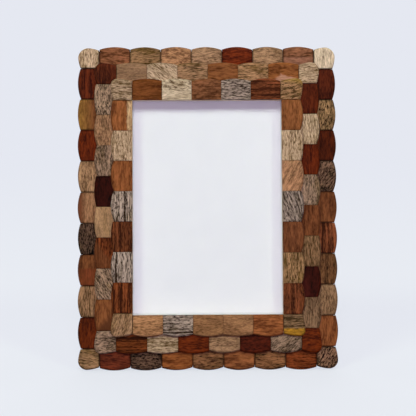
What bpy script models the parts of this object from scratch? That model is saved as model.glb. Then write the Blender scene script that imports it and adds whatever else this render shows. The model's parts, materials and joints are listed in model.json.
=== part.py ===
"""Tabletop picture frame faced with a mosaic of small wooden tiles.

Three rings of tiles step forward towards the opening, and each ring laps over the one outside it. They are
glued to four mitred rails, which hold the glass, the print, a filler card and the backing board in a rebate.
Turn buttons keep the backing in, an easel leg stands the frame up, and a ring hangs it on a wall.

Everything is drawn upright, in metres, with the front towards -Y, X to the right and Z up from the lowest
tile edge. Depth 0 is the back of the outer tiles. An empty then leans the whole frame back on its leg.
"""

import math

import bmesh
import bpy

MM = 0.001

# Overall size and stance
FRAME_WIDTH = 203 * MM
FRAME_HEIGHT = 254 * MM
LEAN = math.radians(14)

# Tiles: a ring's name, and its tiles along the top or bottom and along each side, corners apart
RINGS = (("outer", 7, 9), ("middle", 6, 8), ("inner", 5, 7))
RING_PITCH = 13 * MM
TILE_DEPTH = 17 * MM
TILE_THICKNESS = 2.2 * MM
TILE_BOW = 2.2 * MM
CORNER_RADIUS = 7 * MM
CORNER_BOW = 1.6 * MM
TILE_GAP = 0.3 * MM
GLUE_GAP = 0.3 * MM
BOW_SEGMENTS = 5
CORNER_SEGMENTS = 4

# Rails
RAIL_INSET = 3.5 * MM
REBATE_WIDTH = 6.25 * MM
MITRE_GAP = 0.3 * MM
NAIL_LEG = 7 * MM
NAIL_THICKNESS = 0.8 * MM
NAIL_DEPTH = 6 * MM
NAIL_SINK = 0.2 * MM
NAIL_FROM_CREST = 20 * MM

# What lies in the rebate, from the front to the back
FIT_GAP = 0.3 * MM
EDGE_CLEARANCE = 0.5 * MM
GLASS_THICKNESS = 2 * MM
PRINT_THICKNESS = 0.25 * MM
FILLER_THICKNESS = 1.5 * MM
BACKING_THICKNESS = 3 * MM

# Screws and rivets
ROUND_SEGMENTS = 16
SHARP_ANGLE = math.radians(40)
HEAD_SHOULDER = 0.55  # share of a head's height where its side ends
HEAD_CROWN = 0.6  # share of a head's radius that is flat on top
HOLE_CLEARANCE = 0.3 * MM
CUT_MARGIN = 1 * MM
SCREW_SHANK_RADIUS = 1.4 * MM
SCREW_SHANK_LENGTH = 7 * MM
SCREW_HEAD_RADIUS = 3.2 * MM
SCREW_HEAD_HEIGHT = 1.6 * MM
SCREW_SLOT_WIDTH = 0.8 * MM
SCREW_SLOT_DEPTH = 0.7 * MM
RIVET_SHANK_RADIUS = 1 * MM
RIVET_HEAD_RADIUS = 2.2 * MM
RIVET_HEAD_HEIGHT = 0.9 * MM

# Turn buttons
BUTTON_LENGTH = 26 * MM
BUTTON_WIDTH = 9 * MM
BUTTON_THICKNESS = 1.2 * MM
BUTTON_FROM_REBATE = 4.5 * MM
BUTTON_SPREAD = 110 * MM

# Easel hinge and leg
HINGE_HEIGHT = 150 * MM
LEG_SPLAY = math.radians(12)
BARREL_RADIUS = 2 * MM
PIN_RADIUS = 0.9 * MM
PIN_CLEARANCE = 0.3 * MM
PIN_HEAD_RADIUS = 1.8 * MM
PIN_HEAD_LENGTH = 0.8 * MM
LEAF_THICKNESS = 0.7 * MM
LEAF_WIDTH = 30 * MM
LEAF_LENGTH = 20 * MM
LEAF_RIVET_SPACING = 18 * MM
LEAF_RIVET_REACH = 14 * MM
MIDDLE_KNUCKLE = 11 * MM
KNUCKLE_GAP = 0.4 * MM
NOTCH_CLEARANCE = 0.5 * MM
STOP_LENGTH = 6 * MM
STOP_THICKNESS = 1.2 * MM
LEG_THICKNESS = 3 * MM
LEG_TOP_WIDTH = 36 * MM
LEG_FOOT_WIDTH = 62 * MM
LEG_TOP_CLEARANCE = 0.7 * MM

# Wall hanger
STRAP_WIDTH = 10 * MM
STRAP_LENGTH = 16 * MM
STRAP_THICKNESS = 0.7 * MM
STRAP_HOLE_REACH = 10.5 * MM
HANGER_SCREW_LENGTH = 5 * MM
HANGER_DROP = 22 * MM
RING_WIRE_RADIUS = 1 * MM
RING_CLEARANCE = 0.3 * MM
RING_BAR_HALF = 6 * MM
RING_CORNER_RADIUS = 2.5 * MM
RING_WIRE_SEGMENTS = 8
RING_ARC_SEGMENTS = 12
RING_CORNER_SEGMENTS = 3

# Worked out from the sizes above
BAND = (len(RINGS) - 1) * RING_PITCH + TILE_DEPTH
RING_STEP = TILE_THICKNESS + GLUE_GAP
GLASS_FRONT = GLUE_GAP + FIT_GAP
PRINT_FRONT = GLASS_FRONT + GLASS_THICKNESS + FIT_GAP
FILLER_FRONT = PRINT_FRONT + PRINT_THICKNESS + FIT_GAP
BACKING_FRONT = FILLER_FRONT + FILLER_THICKNESS + FIT_GAP
BACK = BACKING_FRONT + BACKING_THICKNESS
REBATE_FROM_CREST = BAND - REBATE_WIDTH
HINGE_DEPTH = BACK + FIT_GAP + BARREL_RADIUS
LEG_ANGLE = LEAN + LEG_SPLAY
HINGE_ABOVE_FLOOR = HINGE_HEIGHT * math.cos(LEAN) - HINGE_DEPTH * math.sin(LEAN)

# Linear colours, then roughness and metallic
FINISHES = {
    "outer_tile_wood": (0.21, 0.10, 0.055, 0.6, 0.0),
    "middle_tile_wood": (0.27, 0.15, 0.09, 0.6, 0.0),
    "inner_tile_wood": (0.31, 0.17, 0.09, 0.6, 0.0),
    "stained_base_wood": (0.06, 0.03, 0.018, 0.7, 0.0),
    "nail_steel": (0.42, 0.43, 0.45, 0.4, 1.0),
    "clear_glass": (0.9, 0.95, 0.95, 0.05, 0.0),
    "pale_print_paper": (0.8, 0.8, 0.85, 0.9, 0.0),
    "grey_card": (0.45, 0.41, 0.35, 0.9, 0.0),
    "black_board": (0.02, 0.02, 0.022, 0.8, 0.0),
    "brass_plate": (0.6, 0.42, 0.16, 0.35, 1.0),
    "zinc_steel": (0.55, 0.56, 0.58, 0.35, 1.0),
}


def clear_scene():
    for old in list(bpy.data.objects):
        bpy.data.objects.remove(old)


def finish(name):
    material = bpy.data.materials.get(name)
    if material is None:
        red, green, blue, roughness, metallic = FINISHES[name]
        material = bpy.data.materials.new(name)
        material.use_nodes = True
        shader = material.node_tree.nodes["Principled BSDF"]
        shader.inputs["Base Color"].default_value = (red, green, blue, 1)
        shader.inputs["Roughness"].default_value = roughness
        shader.inputs["Metallic"].default_value = metallic
    return material


def loft(rings, looped=False):
    """Mesh through rings of points: faces between neighbouring rings, and a cap at each end unless looped."""
    body = bmesh.new()
    rows = [[body.verts.new(point) for point in ring] for ring in rings]
    pairs = list(zip(rows, rows[1:]))
    if looped:
        pairs.append((rows[-1], rows[0]))
    else:
        body.faces.new(rows[0])
        body.faces.new(rows[-1])
    for near, far in pairs:
        for i in range(len(near)):
            body.faces.new((near[i - 1], near[i], far[i], far[i - 1]))
    bmesh.ops.recalc_face_normals(body, faces=body.faces)
    mesh = bpy.data.meshes.new("solid")
    body.to_mesh(mesh)
    body.free()
    return mesh


def prism(outline, front, back):
    """Plate with an (x, z) outline between two depths."""
    return loft([[(x, depth, z) for x, z in outline] for depth in (front, back)])


def rectangle(x_low, x_high, z_low, z_high):
    return [(x_low, z_low), (x_high, z_low), (x_high, z_high), (x_low, z_high)]


def circle(radius, segments=ROUND_SEGMENTS):
    """Points round a circle, with a flat side to the right, left, top and bottom."""
    turns = [2 * math.pi * (i + 0.5) / segments for i in range(segments)]
    return [(radius * math.cos(turn), radius * math.sin(turn)) for turn in turns]


def turned(profile):
    """Mesh turned about the Y axis from (radius, depth) points."""
    return loft([[(x, depth, z) for x, z in circle(radius)] for radius, depth in profile])


def rod(radius, start, end):
    """Cylinder along X between two places."""
    return loft([[(x, y, z) for y, z in circle(radius)] for x in (start, end)])


def place(mesh, name, parent, location):
    part = bpy.data.objects.new(name, mesh)
    part.parent = parent
    part.location = location
    bpy.context.scene.collection.objects.link(part)
    return part


def add_part(name, mesh, finish_name, parent, location=(0, 0, 0)):
    mesh.name = name
    mesh.materials.append(finish(finish_name))
    return place(mesh, name, parent, location)


def combine(part, operation, mesh, location=None):
    """Joins a helper shape to a part, or cuts it out. It sits at the part unless a location is given."""
    name = f"{part.name}_{operation.lower()}_{len(part.modifiers)}"
    helper = place(mesh, name, part.parent, location or part.location)
    helper.hide_render = True
    helper.display_type = "WIRE"
    boolean = part.modifiers.new(helper.name, "BOOLEAN")
    boolean.operation = operation
    boolean.object = helper


def smooth(part):
    part.data.shade_smooth()
    part.data.set_sharp_from_angle(angle=SHARP_ANGLE)


def add_empty(name, parent, location, tilt):
    empty = place(None, name, parent, location)
    empty.rotation_euler = (tilt, 0, 0)
    return empty


def stance():
    """Empty that leans the frame back, placed so that the object's middle is over the origin.

    It reaches furthest forward at the lower front edge of one of its rings, and furthest back at the foot.
    """
    forward = min(
        ring * RING_PITCH * math.sin(LEAN) - (ring * RING_STEP + TILE_THICKNESS) * math.cos(LEAN)
        for ring in range(len(RINGS))
    )
    hinge_behind = HINGE_DEPTH * math.cos(LEAN) + HINGE_HEIGHT * math.sin(LEAN)
    heel = leg_back() * math.cos(LEG_SPLAY) - foot_level(leg_back()) * math.sin(LEG_SPLAY)
    return add_empty("stance", None, (0, -(forward + hinge_behind + heel) / 2, 0), -LEAN)


def on_side(side, along, inward):
    """(x, z) at a distance along a side from its middle, and inward from its crest line."""
    if side == "top":
        return along, FRAME_HEIGHT - inward
    if side == "bottom":
        return along, inward
    if side == "left":
        return inward - FRAME_WIDTH / 2, FRAME_HEIGHT / 2 + along
    return FRAME_WIDTH / 2 - inward, FRAME_HEIGHT / 2 + along


def half_side(side):
    return (FRAME_WIDTH if side in ("top", "bottom") else FRAME_HEIGHT) / 2


def on_corner(corner, across, upright):
    """(x, z) at distances inward from the two crest lines that meet in a corner."""
    x = FRAME_WIDTH / 2 - across
    z = upright if corner.startswith("bottom") else FRAME_HEIGHT - upright
    return (-x if corner.endswith("left") else x), z


SIDES = ("top", "bottom", "left", "right")
CORNERS = ("top_left", "top_right", "bottom_left", "bottom_right")


def bowed_edge(start, end, crest):
    """Points along one tile's outer edge: a parabola whose middle segment lies flat on the crest line."""
    flat = 1 / BOW_SEGMENTS
    points = []
    for i in range(BOW_SEGMENTS + 1):
        t = 2 * i / BOW_SEGMENTS - 1
        fall = TILE_BOW * (t * t - flat * flat) / (1 - flat * flat)
        points.append((start + (end - start) * (t + 1) / 2, crest + fall))
    return points


def tile_row(ring, side, count):
    """Outline of the row of tiles between two corner tiles, in one piece."""
    crest = ring * RING_PITCH
    half = half_side(side) - crest - TILE_DEPTH - TILE_GAP / 2
    pitch = 2 * half / count
    edge = [(-half, crest + TILE_DEPTH)]
    for i in range(count):
        edge += bowed_edge(-half + i * pitch, -half + (i + 1) * pitch, crest)[:-1]
    edge.append((half, crest + TILE_BOW))
    edge.append((half, crest + TILE_DEPTH))
    return [on_side(side, along, inward) for along, inward in edge]


def corner_tile(ring, corner):
    """Outline of a corner tile: a round outer corner, flat crests beside it, and ends that fall away."""
    crest = ring * RING_PITCH
    reach = TILE_DEPTH - TILE_GAP / 2
    flat_end = (CORNER_RADIUS + reach) / 2
    rounded = []
    for i in range(CORNER_SEGMENTS + 1):
        turn = math.pi / 2 * i / CORNER_SEGMENTS
        rounded.append((CORNER_RADIUS * (1 - math.sin(turn)), CORNER_RADIUS * (1 - math.cos(turn))))
    ends = [(reach, reach), (reach, CORNER_BOW), (flat_end, 0)]
    edge = ends + rounded + [(0, flat_end), (CORNER_BOW, reach)]
    return [on_corner(corner, crest + across, crest + upright) for across, upright in edge]


def add_tiles(frame):
    for ring, (ring_name, across, upright) in enumerate(RINGS):
        tile_back = -ring * RING_STEP
        wood = f"{ring_name}_tile_wood"
        for side in SIDES:
            count = across if side in ("top", "bottom") else upright
            row = prism(tile_row(ring, side, count), tile_back - TILE_THICKNESS, tile_back)
            add_part(f"{ring_name}_tiles_{side}", row, wood, frame)
        for corner in CORNERS:
            tile = prism(corner_tile(ring, corner), tile_back - TILE_THICKNESS, tile_back)
            add_part(f"{ring_name}_corner_{corner}", tile, wood, frame)


def rail_profile():
    """(inward, depth) points round a rail: outer edge, a step up behind each ring, opening, rebate, back."""
    points = [(RAIL_INSET, BACK), (RAIL_INSET, GLUE_GAP)]
    for ring in range(1, len(RINGS)):
        step = (ring - 1) * RING_PITCH + TILE_DEPTH + TILE_GAP
        points.append((step, GLUE_GAP - (ring - 1) * RING_STEP))
        points.append((step, GLUE_GAP - ring * RING_STEP))
    points.append((BAND, GLUE_GAP - (len(RINGS) - 1) * RING_STEP))
    points.append((BAND, GLUE_GAP))
    points.append((REBATE_FROM_CREST, GLUE_GAP))
    points.append((REBATE_FROM_CREST, BACK))
    return points


def add_rails(frame):
    """Four rails with mitred ends, each with pockets for the corner nails."""
    names = {"top": "top_rail", "bottom": "bottom_rail", "left": "left_stile", "right": "right_stile"}
    rails = {}
    for side in SIDES:
        ends = []
        for end in (-1, 1):
            ring = []
            for inward, depth in rail_profile():
                along = end * (half_side(side) - inward - MITRE_GAP / math.sqrt(2))
                x, z = on_side(side, along, inward)
                ring.append((x, depth, z))
            ends.append(ring)
        rails[side] = add_part(names[side], loft(ends), "stained_base_wood", frame)
    for corner in CORNERS:
        for side in corner.split("_"):
            pocket = nail_plate(corner, HOLE_CLEARANCE, BACK + CUT_MARGIN)
            combine(rails[side], "DIFFERENCE", pocket)
        nail = nail_plate(corner, 0, BACK - NAIL_SINK)
        add_part(f"corner_nail_{corner}", nail, "nail_steel", frame)
    return rails


def nail_plate(corner, clearance, back):
    """Plate bent to a right angle across the mitre, or its pocket, wider and deeper by a clearance."""
    low = NAIL_FROM_CREST - clearance
    fold = NAIL_FROM_CREST + NAIL_THICKNESS + clearance
    end = NAIL_FROM_CREST + NAIL_LEG + clearance
    bend = [(low, low), (end, low), (end, fold), (fold, fold), (fold, end), (low, end)]
    outline = [on_corner(corner, across, upright) for across, upright in bend]
    return prism(outline, BACK - NAIL_SINK - NAIL_DEPTH - clearance, back)


def add_contents(frame):
    """Glass, print, filler card and backing board, stacked in the rebate. Returns the backing board."""
    half_width = FRAME_WIDTH / 2 - REBATE_FROM_CREST - EDGE_CLEARANCE
    low = REBATE_FROM_CREST + EDGE_CLEARANCE
    sheet = rectangle(-half_width, half_width, low, FRAME_HEIGHT - low)
    stack = (
        ("glass_pane", GLASS_FRONT, GLASS_THICKNESS, "clear_glass"),
        ("photo_insert", PRINT_FRONT, PRINT_THICKNESS, "pale_print_paper"),
        ("filler_card", FILLER_FRONT, FILLER_THICKNESS, "grey_card"),
        ("backing_board", BACKING_FRONT, BACKING_THICKNESS, "black_board"),
    )
    for name, front, thickness, finish_name in stack:
        last = add_part(name, prism(sheet, front, front + thickness), finish_name, frame)
    return last


def fastener(shank_radius, shank_length, head_radius, head_height):
    """Screw or rivet along Y: depth 0 is under its head, which domes towards +Y."""
    shoulder = HEAD_SHOULDER * head_height
    crown = HEAD_CROWN * head_radius
    profile = [(shank_radius, -shank_length), (shank_radius, 0), (head_radius, 0)]
    return turned(profile + [(head_radius, shoulder), (crown, head_height)])


def hole(radius, front, back):
    return turned([(radius + HOLE_CLEARANCE, front), (radius + HOLE_CLEARANCE, back)])


def add_screw(name, shank_length, parent, location):
    """Slotted screw whose head sits on what lies at the location."""
    mesh = fastener(SCREW_SHANK_RADIUS, shank_length, SCREW_HEAD_RADIUS, SCREW_HEAD_HEIGHT)
    screw = add_part(name, mesh, "zinc_steel", parent, location)
    reach = SCREW_HEAD_RADIUS + CUT_MARGIN
    slot = rectangle(-reach, reach, -SCREW_SLOT_WIDTH / 2, SCREW_SLOT_WIDTH / 2)
    floor = SCREW_HEAD_HEIGHT - SCREW_SLOT_DEPTH
    combine(screw, "DIFFERENCE", prism(slot, floor, SCREW_HEAD_HEIGHT + CUT_MARGIN))
    smooth(screw)


def stadium(length, width):
    """Outline with two straight sides and round ends."""
    radius = width / 2
    points = []
    for end in (1, -1):
        for i in range(ROUND_SEGMENTS // 2 + 1):
            turn = math.pi * (2 * i / ROUND_SEGMENTS - 0.5)
            across = length / 2 - radius + radius * math.cos(turn)
            points.append((end * across, end * radius * math.sin(turn)))
    return points


def add_turn_buttons(frame, rails):
    """Two buttons on each stile. Each lies across the edge of the backing board and turns on its screw."""
    from_crest = REBATE_FROM_CREST - BUTTON_FROM_REBATE
    under = BACK + FIT_GAP
    under_head = under + BUTTON_THICKNESS + FIT_GAP
    for side in ("left", "right"):
        for level, along in (("upper", BUTTON_SPREAD / 2), ("lower", -BUTTON_SPREAD / 2)):
            x, z = on_side(side, along, from_crest)
            plate = prism(stadium(BUTTON_LENGTH, BUTTON_WIDTH), 0, BUTTON_THICKNESS)
            button = add_part(f"turn_button_{level}_{side}", plate, "brass_plate", frame, (x, under, z))
            bore = hole(SCREW_SHANK_RADIUS, -CUT_MARGIN, BUTTON_THICKNESS + CUT_MARGIN)
            combine(button, "DIFFERENCE", bore)
            screw_at = (x, under_head, z)
            add_screw(f"button_screw_{level}_{side}", SCREW_SHANK_LENGTH, frame, screw_at)
            pilot = hole(SCREW_SHANK_RADIUS, -SCREW_SHANK_LENGTH - HOLE_CLEARANCE, 0)
            combine(rails[side], "DIFFERENCE", pilot, screw_at)


def leg_front():
    """Depth of the leg's front face behind the hinge axis, with the leg folded flat."""
    return LEAF_THICKNESS + FIT_GAP - BARREL_RADIUS


def leg_back():
    return leg_front() + LEG_THICKNESS


def foot_level(depth):
    """Height, from the hinge axis and along the leg, at which a face at this depth meets the floor."""
    return -(HINGE_ABOVE_FLOOR + depth * math.sin(LEG_SPLAY)) / math.cos(LEG_SPLAY)


def leaf_outline(direction, knuckle_in_middle):
    """Outline of a leaf that runs up (1) or down (-1), notched for the other leaf's knuckles."""
    half = LEAF_WIDTH / 2
    notch = BARREL_RADIUS + NOTCH_CLEARANCE
    middle, outside = (0, notch) if knuckle_in_middle else (notch, 0)
    inner = MIDDLE_KNUCKLE / 2 if knuckle_in_middle else MIDDLE_KNUCKLE / 2 + KNUCKLE_GAP
    points = [(-half, LEAF_LENGTH), (-half, outside), (-inner, outside), (-inner, middle)]
    points += [(-x, z) for x, z in reversed(points)]
    return [(x, direction * z) for x, z in points]


def add_hinge_leaf(name, direction, knuckles, parent):
    """Leaf with its knuckles, pin bore and two rivet holes. Its parent sits on the axis."""
    plate_front = -BARREL_RADIUS
    plate_back = plate_front + LEAF_THICKNESS
    in_middle = len(knuckles) == 1
    plate = prism(leaf_outline(direction, in_middle), plate_front, plate_back)
    leaf = add_part(name, plate, "brass_plate", parent)
    for start, end in knuckles:
        combine(leaf, "UNION", rod(BARREL_RADIUS, start, end))
    if in_middle:
        combine(leaf, "UNION", stop_toe())
    combine(leaf, "DIFFERENCE", rod(PIN_RADIUS + PIN_CLEARANCE, -LEAF_WIDTH, LEAF_WIDTH))
    for x in (-LEAF_RIVET_SPACING / 2, LEAF_RIVET_SPACING / 2):
        bore = hole(RIVET_SHANK_RADIUS, plate_front - CUT_MARGIN, plate_back + CUT_MARGIN)
        combine(leaf, "DIFFERENCE", bore, (x, 0, direction * LEAF_RIVET_REACH))


def stop_toe():
    """Toe that meets the fixed leaf when the leg is open, drawn with the leg folded flat."""
    half = MIDDLE_KNUCKLE / 2
    front = LEAF_THICKNESS + FIT_GAP - BARREL_RADIUS
    section = []
    for depth, height in rectangle(front, front + STOP_THICKNESS, BARREL_RADIUS / 2, STOP_LENGTH):
        turned_depth = depth * math.cos(LEG_ANGLE) + height * math.sin(LEG_ANGLE)
        turned_height = height * math.cos(LEG_ANGLE) - depth * math.sin(LEG_ANGLE)
        section.append((turned_depth, turned_height))
    return loft([[(x, depth, height) for depth, height in section] for x in (-half, half)])


def add_easel(frame, backing):
    """Leg on a pinned hinge. Its pieces hang on an empty on the axis, turned to where the leg stands."""
    fixed = add_empty("hinge_on_backing", frame, (0, HINGE_DEPTH, HINGE_HEIGHT), 0)
    swing = add_empty("leg_swing", fixed, (0, 0, 0), LEG_ANGLE)
    half = LEAF_WIDTH / 2
    middle = MIDDLE_KNUCKLE / 2
    outer_knuckles = [(-half, -middle - KNUCKLE_GAP), (middle + KNUCKLE_GAP, half)]
    add_hinge_leaf("hinge_leaf_fixed", 1, outer_knuckles, fixed)
    add_hinge_leaf("hinge_leaf_leg", -1, [(-middle, middle)], swing)
    add_pin(fixed)
    leg = add_leg(swing)
    rivet_under_head = LEAF_THICKNESS + FIT_GAP - BARREL_RADIUS
    for side, x in (("left", -LEAF_RIVET_SPACING / 2), ("right", LEAF_RIVET_SPACING / 2)):
        fixed_at = (x, rivet_under_head, LEAF_RIVET_REACH)
        into_backing = rivet_under_head + HINGE_DEPTH - BACKING_FRONT - FIT_GAP
        add_rivet(f"leaf_rivet_{side}", into_backing, fixed, fixed_at)
        through = hole(RIVET_SHANK_RADIUS, -into_backing - BACKING_THICKNESS, 0)
        in_frame = (x, HINGE_DEPTH + rivet_under_head, HINGE_HEIGHT + LEAF_RIVET_REACH)
        combine(backing, "DIFFERENCE", through, in_frame)
        leg_at = (x, leg_back() + FIT_GAP, -LEAF_RIVET_REACH)
        into_leaf = LEG_THICKNESS + 2 * FIT_GAP + LEAF_THICKNESS
        add_rivet(f"leg_rivet_{side}", into_leaf, swing, leg_at)
        combine(leg, "DIFFERENCE", hole(RIVET_SHANK_RADIUS, -into_leaf, 0), leg_at)


def add_rivet(name, shank_length, parent, location):
    mesh = fastener(RIVET_SHANK_RADIUS, shank_length, RIVET_HEAD_RADIUS, RIVET_HEAD_HEIGHT)
    smooth(add_part(name, mesh, "zinc_steel", parent, location))


def add_pin(fixed):
    """Hinge pin with a head at each end."""
    half = LEAF_WIDTH / 2 + FIT_GAP
    end = half + PIN_HEAD_LENGTH
    sections = [(PIN_HEAD_RADIUS, -end), (PIN_HEAD_RADIUS, -half), (PIN_RADIUS, -half)]
    sections += [(radius, -x) for radius, x in reversed(sections)]
    mesh = loft([[(x, y, z) for y, z in circle(radius)] for radius, x in sections])
    smooth(add_part("hinge_pin", mesh, "zinc_steel", fixed))


def add_leg(swing):
    """Tapered board whose lower end is cut to lie flat on the floor when the leg is open."""
    top = -BARREL_RADIUS - LEG_TOP_CLEARANCE
    faces = []
    for depth in (leg_front(), leg_back()):
        foot = foot_level(depth)
        outline = [
            (-LEG_TOP_WIDTH / 2, depth, top),
            (LEG_TOP_WIDTH / 2, depth, top),
            (LEG_FOOT_WIDTH / 2, depth, foot),
            (-LEG_FOOT_WIDTH / 2, depth, foot),
        ]
        faces.append(outline)
    return add_part("easel_leg", loft(faces), "black_board", swing)


def ring_path():
    """(x, drop) points round the ring's wire: a bar in the strap, two corners and a round bow."""
    side = RING_BAR_HALF + RING_CORNER_RADIUS
    corner = []
    for i in range(RING_CORNER_SEGMENTS + 1):
        turn = math.pi / 2 * i / RING_CORNER_SEGMENTS
        across = RING_BAR_HALF + RING_CORNER_RADIUS * math.sin(turn)
        corner.append((across, RING_CORNER_RADIUS * (1 - math.cos(turn))))
    bow = []
    for i in range(1, RING_ARC_SEGMENTS):
        turn = math.pi * i / RING_ARC_SEGMENTS
        bow.append((side * math.cos(turn), RING_CORNER_RADIUS + side * math.sin(turn)))
    return corner + bow + [(-x, drop) for x, drop in reversed(corner)]


def ring_wire():
    """Round wire along the closed ring path."""
    path = ring_path()
    rings = []
    for i, (x, drop) in enumerate(path):
        ahead = path[(i + 1) % len(path)]
        behind = path[i - 1]
        run = math.hypot(ahead[0] - behind[0], ahead[1] - behind[1])
        out_x = (ahead[1] - behind[1]) / run
        out_drop = (behind[0] - ahead[0]) / run
        section = []
        for out, depth in circle(RING_WIRE_RADIUS, RING_WIRE_SEGMENTS):
            section.append((x + out * out_x, depth, -(drop + out * out_drop)))
        rings.append(section)
    return loft(rings, looped=True)


def add_hanger(frame, rails):
    """Strap screwed to the top rail, and a wire ring that hangs straight down from it."""
    barrel = RING_WIRE_RADIUS + RING_CLEARANCE + STRAP_THICKNESS
    axis = (0, BACK + FIT_GAP + barrel, FRAME_HEIGHT - HANGER_DROP)
    half = STRAP_WIDTH / 2
    plate = prism(rectangle(-half, half, 0, STRAP_LENGTH), -barrel, STRAP_THICKNESS - barrel)
    strap = add_part("hanger_strap", plate, "zinc_steel", frame, axis)
    combine(strap, "UNION", rod(barrel, -half, half))
    combine(strap, "DIFFERENCE", rod(RING_WIRE_RADIUS + RING_CLEARANCE, -STRAP_WIDTH, STRAP_WIDTH))
    screw_at = (0, BACK + 2 * FIT_GAP + STRAP_THICKNESS, axis[2] + STRAP_HOLE_REACH)
    pilot = hole(SCREW_SHANK_RADIUS, -HANGER_SCREW_LENGTH - HOLE_CLEARANCE, CUT_MARGIN)
    combine(strap, "DIFFERENCE", pilot, screw_at)
    combine(rails["top"], "DIFFERENCE", pilot.copy(), screw_at)
    add_screw("hanger_screw", HANGER_SCREW_LENGTH, frame, screw_at)
    hung = add_empty("ring_swing", frame, axis, LEAN)
    smooth(add_part("hanger_ring", ring_wire(), "zinc_steel", hung))


def main():
    clear_scene()
    frame = stance()
    add_tiles(frame)
    rails = add_rails(frame)
    backing = add_contents(frame)
    add_turn_buttons(frame, rails)
    add_easel(frame, backing)
    add_hanger(frame, rails)


main()
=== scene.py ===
"""Looks of a tabletop picture frame faced with lapped rings of small wooden tiles.

The packed CAD model is the fixed frame. Every tile is a piece of its own here, with a bowed and rounded
outer edge and its own grain, and the rails, back, hinge, turn buttons and hanger get finer shapes and
finishes.

Shapes are worked out upright, in metres: X to the right, Y from the front to the back, Z up from the
lowest tile edge, with depth 0 at the back of the outer tiles. stand() then leans them back as the CAD
model stands.
"""

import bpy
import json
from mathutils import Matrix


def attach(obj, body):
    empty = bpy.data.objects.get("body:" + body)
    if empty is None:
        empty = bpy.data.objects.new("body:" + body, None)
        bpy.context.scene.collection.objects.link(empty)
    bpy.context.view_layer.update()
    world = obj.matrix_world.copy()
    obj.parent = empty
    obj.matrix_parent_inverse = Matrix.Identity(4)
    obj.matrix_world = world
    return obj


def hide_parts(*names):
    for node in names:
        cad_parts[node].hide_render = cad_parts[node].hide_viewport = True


bl_info = {
    "name": "Mosaic Picture Frame",
    "version": (1, 0, 0),
    "blender": (4, 5, 0),
    "location": "3D View > Sidebar > Picture Frame",
    "description": "Builds the visible pieces of a wooden mosaic picture frame on its CAD model",
    "category": "Object",
}

import json
import math
import re
from collections import namedtuple
from functools import partial

import bmesh
import bpy
import numpy as np
from mathutils import Matrix, Vector

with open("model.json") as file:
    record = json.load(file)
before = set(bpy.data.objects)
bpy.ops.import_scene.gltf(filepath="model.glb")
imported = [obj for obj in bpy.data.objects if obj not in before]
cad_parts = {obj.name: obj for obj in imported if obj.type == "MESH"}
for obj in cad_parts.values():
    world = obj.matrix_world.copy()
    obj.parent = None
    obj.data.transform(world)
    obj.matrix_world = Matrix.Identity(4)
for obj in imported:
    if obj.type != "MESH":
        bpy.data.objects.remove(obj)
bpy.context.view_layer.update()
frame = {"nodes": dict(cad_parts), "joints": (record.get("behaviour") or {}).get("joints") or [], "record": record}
MM = 0.001

# How the CAD model stands: the lean of its back, and the hinge of its leg.
WALL = next(mount for mount in frame["record"]["mounts"] if mount["name"] == "wall_face")
LEAN = math.atan2(-WALL["axis"][2], WALL["axis"][1])
HINGE = next(joint for joint in frame["joints"] if joint["name"] == "leg_hinge")


def linear(code):
    """Linear RGBA of an sRGB colour written as #rrggbb."""
    parts = [int(code[i : i + 2], 16) / 255 for i in (1, 3, 5)]
    return tuple(p / 12.92 if p <= 0.04045 else ((p + 0.055) / 1.055) ** 2.4 for p in parts) + (1,)


def length(name, millimetres, description):
    """Property for a size, written in millimetres and kept in metres."""
    return bpy.props.FloatProperty(
        name=name, description=description, default=millimetres * MM, unit="LENGTH", precision=5
    )


def angle(name, degrees, description):
    """Property for an angle, written in degrees."""
    return bpy.props.FloatProperty(
        name=name, description=description, default=math.radians(degrees), subtype="ANGLE"
    )


def colour(name, code, description):
    """Property for a colour, written as #rrggbb."""
    return bpy.props.FloatVectorProperty(
        name=name, description=description, default=linear(code), subtype="COLOR", size=4, min=0, max=1
    )


def share(name, value, description):
    """Property for a part of a whole, from 0 to 1."""
    return bpy.props.FloatProperty(
        name=name, description=description, default=value, min=0, max=1, subtype="FACTOR"
    )


# What each wood is, its light and dark colour, as its growth rings and pores show them, and the colour
# of its patches.
SHADES = ("light", "dark", "accent")
WOODS = {
    "cream": ("Palest mango sapwood", "#d2bea3", "#4a3826", "#a98d66"),
    "straw": ("Pale mango sapwood", "#c9ac8d", "#584126", "#8f7449"),
    "tan": ("Mango heartwood", "#a5805f", "#4e3726", "#8d6a3c"),
    "sandy": ("Smooth mango sapwood", "#ae8765", "#755a43", "#94703f"),
    "olive": ("Mango stained by its own sap", "#b08661", "#46331d", "#8f6c2c"),
    "honey": ("Smooth golden acacia", "#986c49", "#5c3d27", "#6b3d18"),
    "amber": ("Light orange acacia", "#b5855f", "#553925", "#a98a60"),
    "rose": ("Pinkish mango", "#b88963", "#64442f", "#b49065"),
    "orange": ("Orange-brown acacia heartwood", "#87502b", "#472410", "#c0a076"),
    "russet": ("Red-brown sheesham", "#8d5b3d", "#432614", "#7a4a30"),
    "striped": ("Striped sheesham", "#854525", "#2c1206", "#6b3318"),
    "rosewood": ("Dark red rosewood", "#652911", "#2b0d06", "#70351b"),
    "ebony": ("Near-black rosewood heart", "#481608", "#0c0402", "#50200f"),
    "ashen": ("Greyed mango", "#a88971", "#3a2d22", "#96732f"),
    "weathered": ("Silver-grey weathered mango", "#b19c8d", "#2a1d16", "#8b7758"),
    "smoked": ("Smoke-darkened mango", "#805f4b", "#020101", "#7a6144"),
    "walnut": ("Brown walnut-like acacia", "#84593c", "#110603", "#7d5c36"),
    "zebra": ("Tan wood with dark lines", "#b0885b", "#070302", "#8d6a3c"),
    "base": ("Stained wood of the rails behind the tiles", "#6e4a30", "#342013", "#2f1c11"),
    "lip": ("Bare wood of the rails round the opening", "#f4e6d6", "#dcc4aa", "#b48a64"),
}


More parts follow.
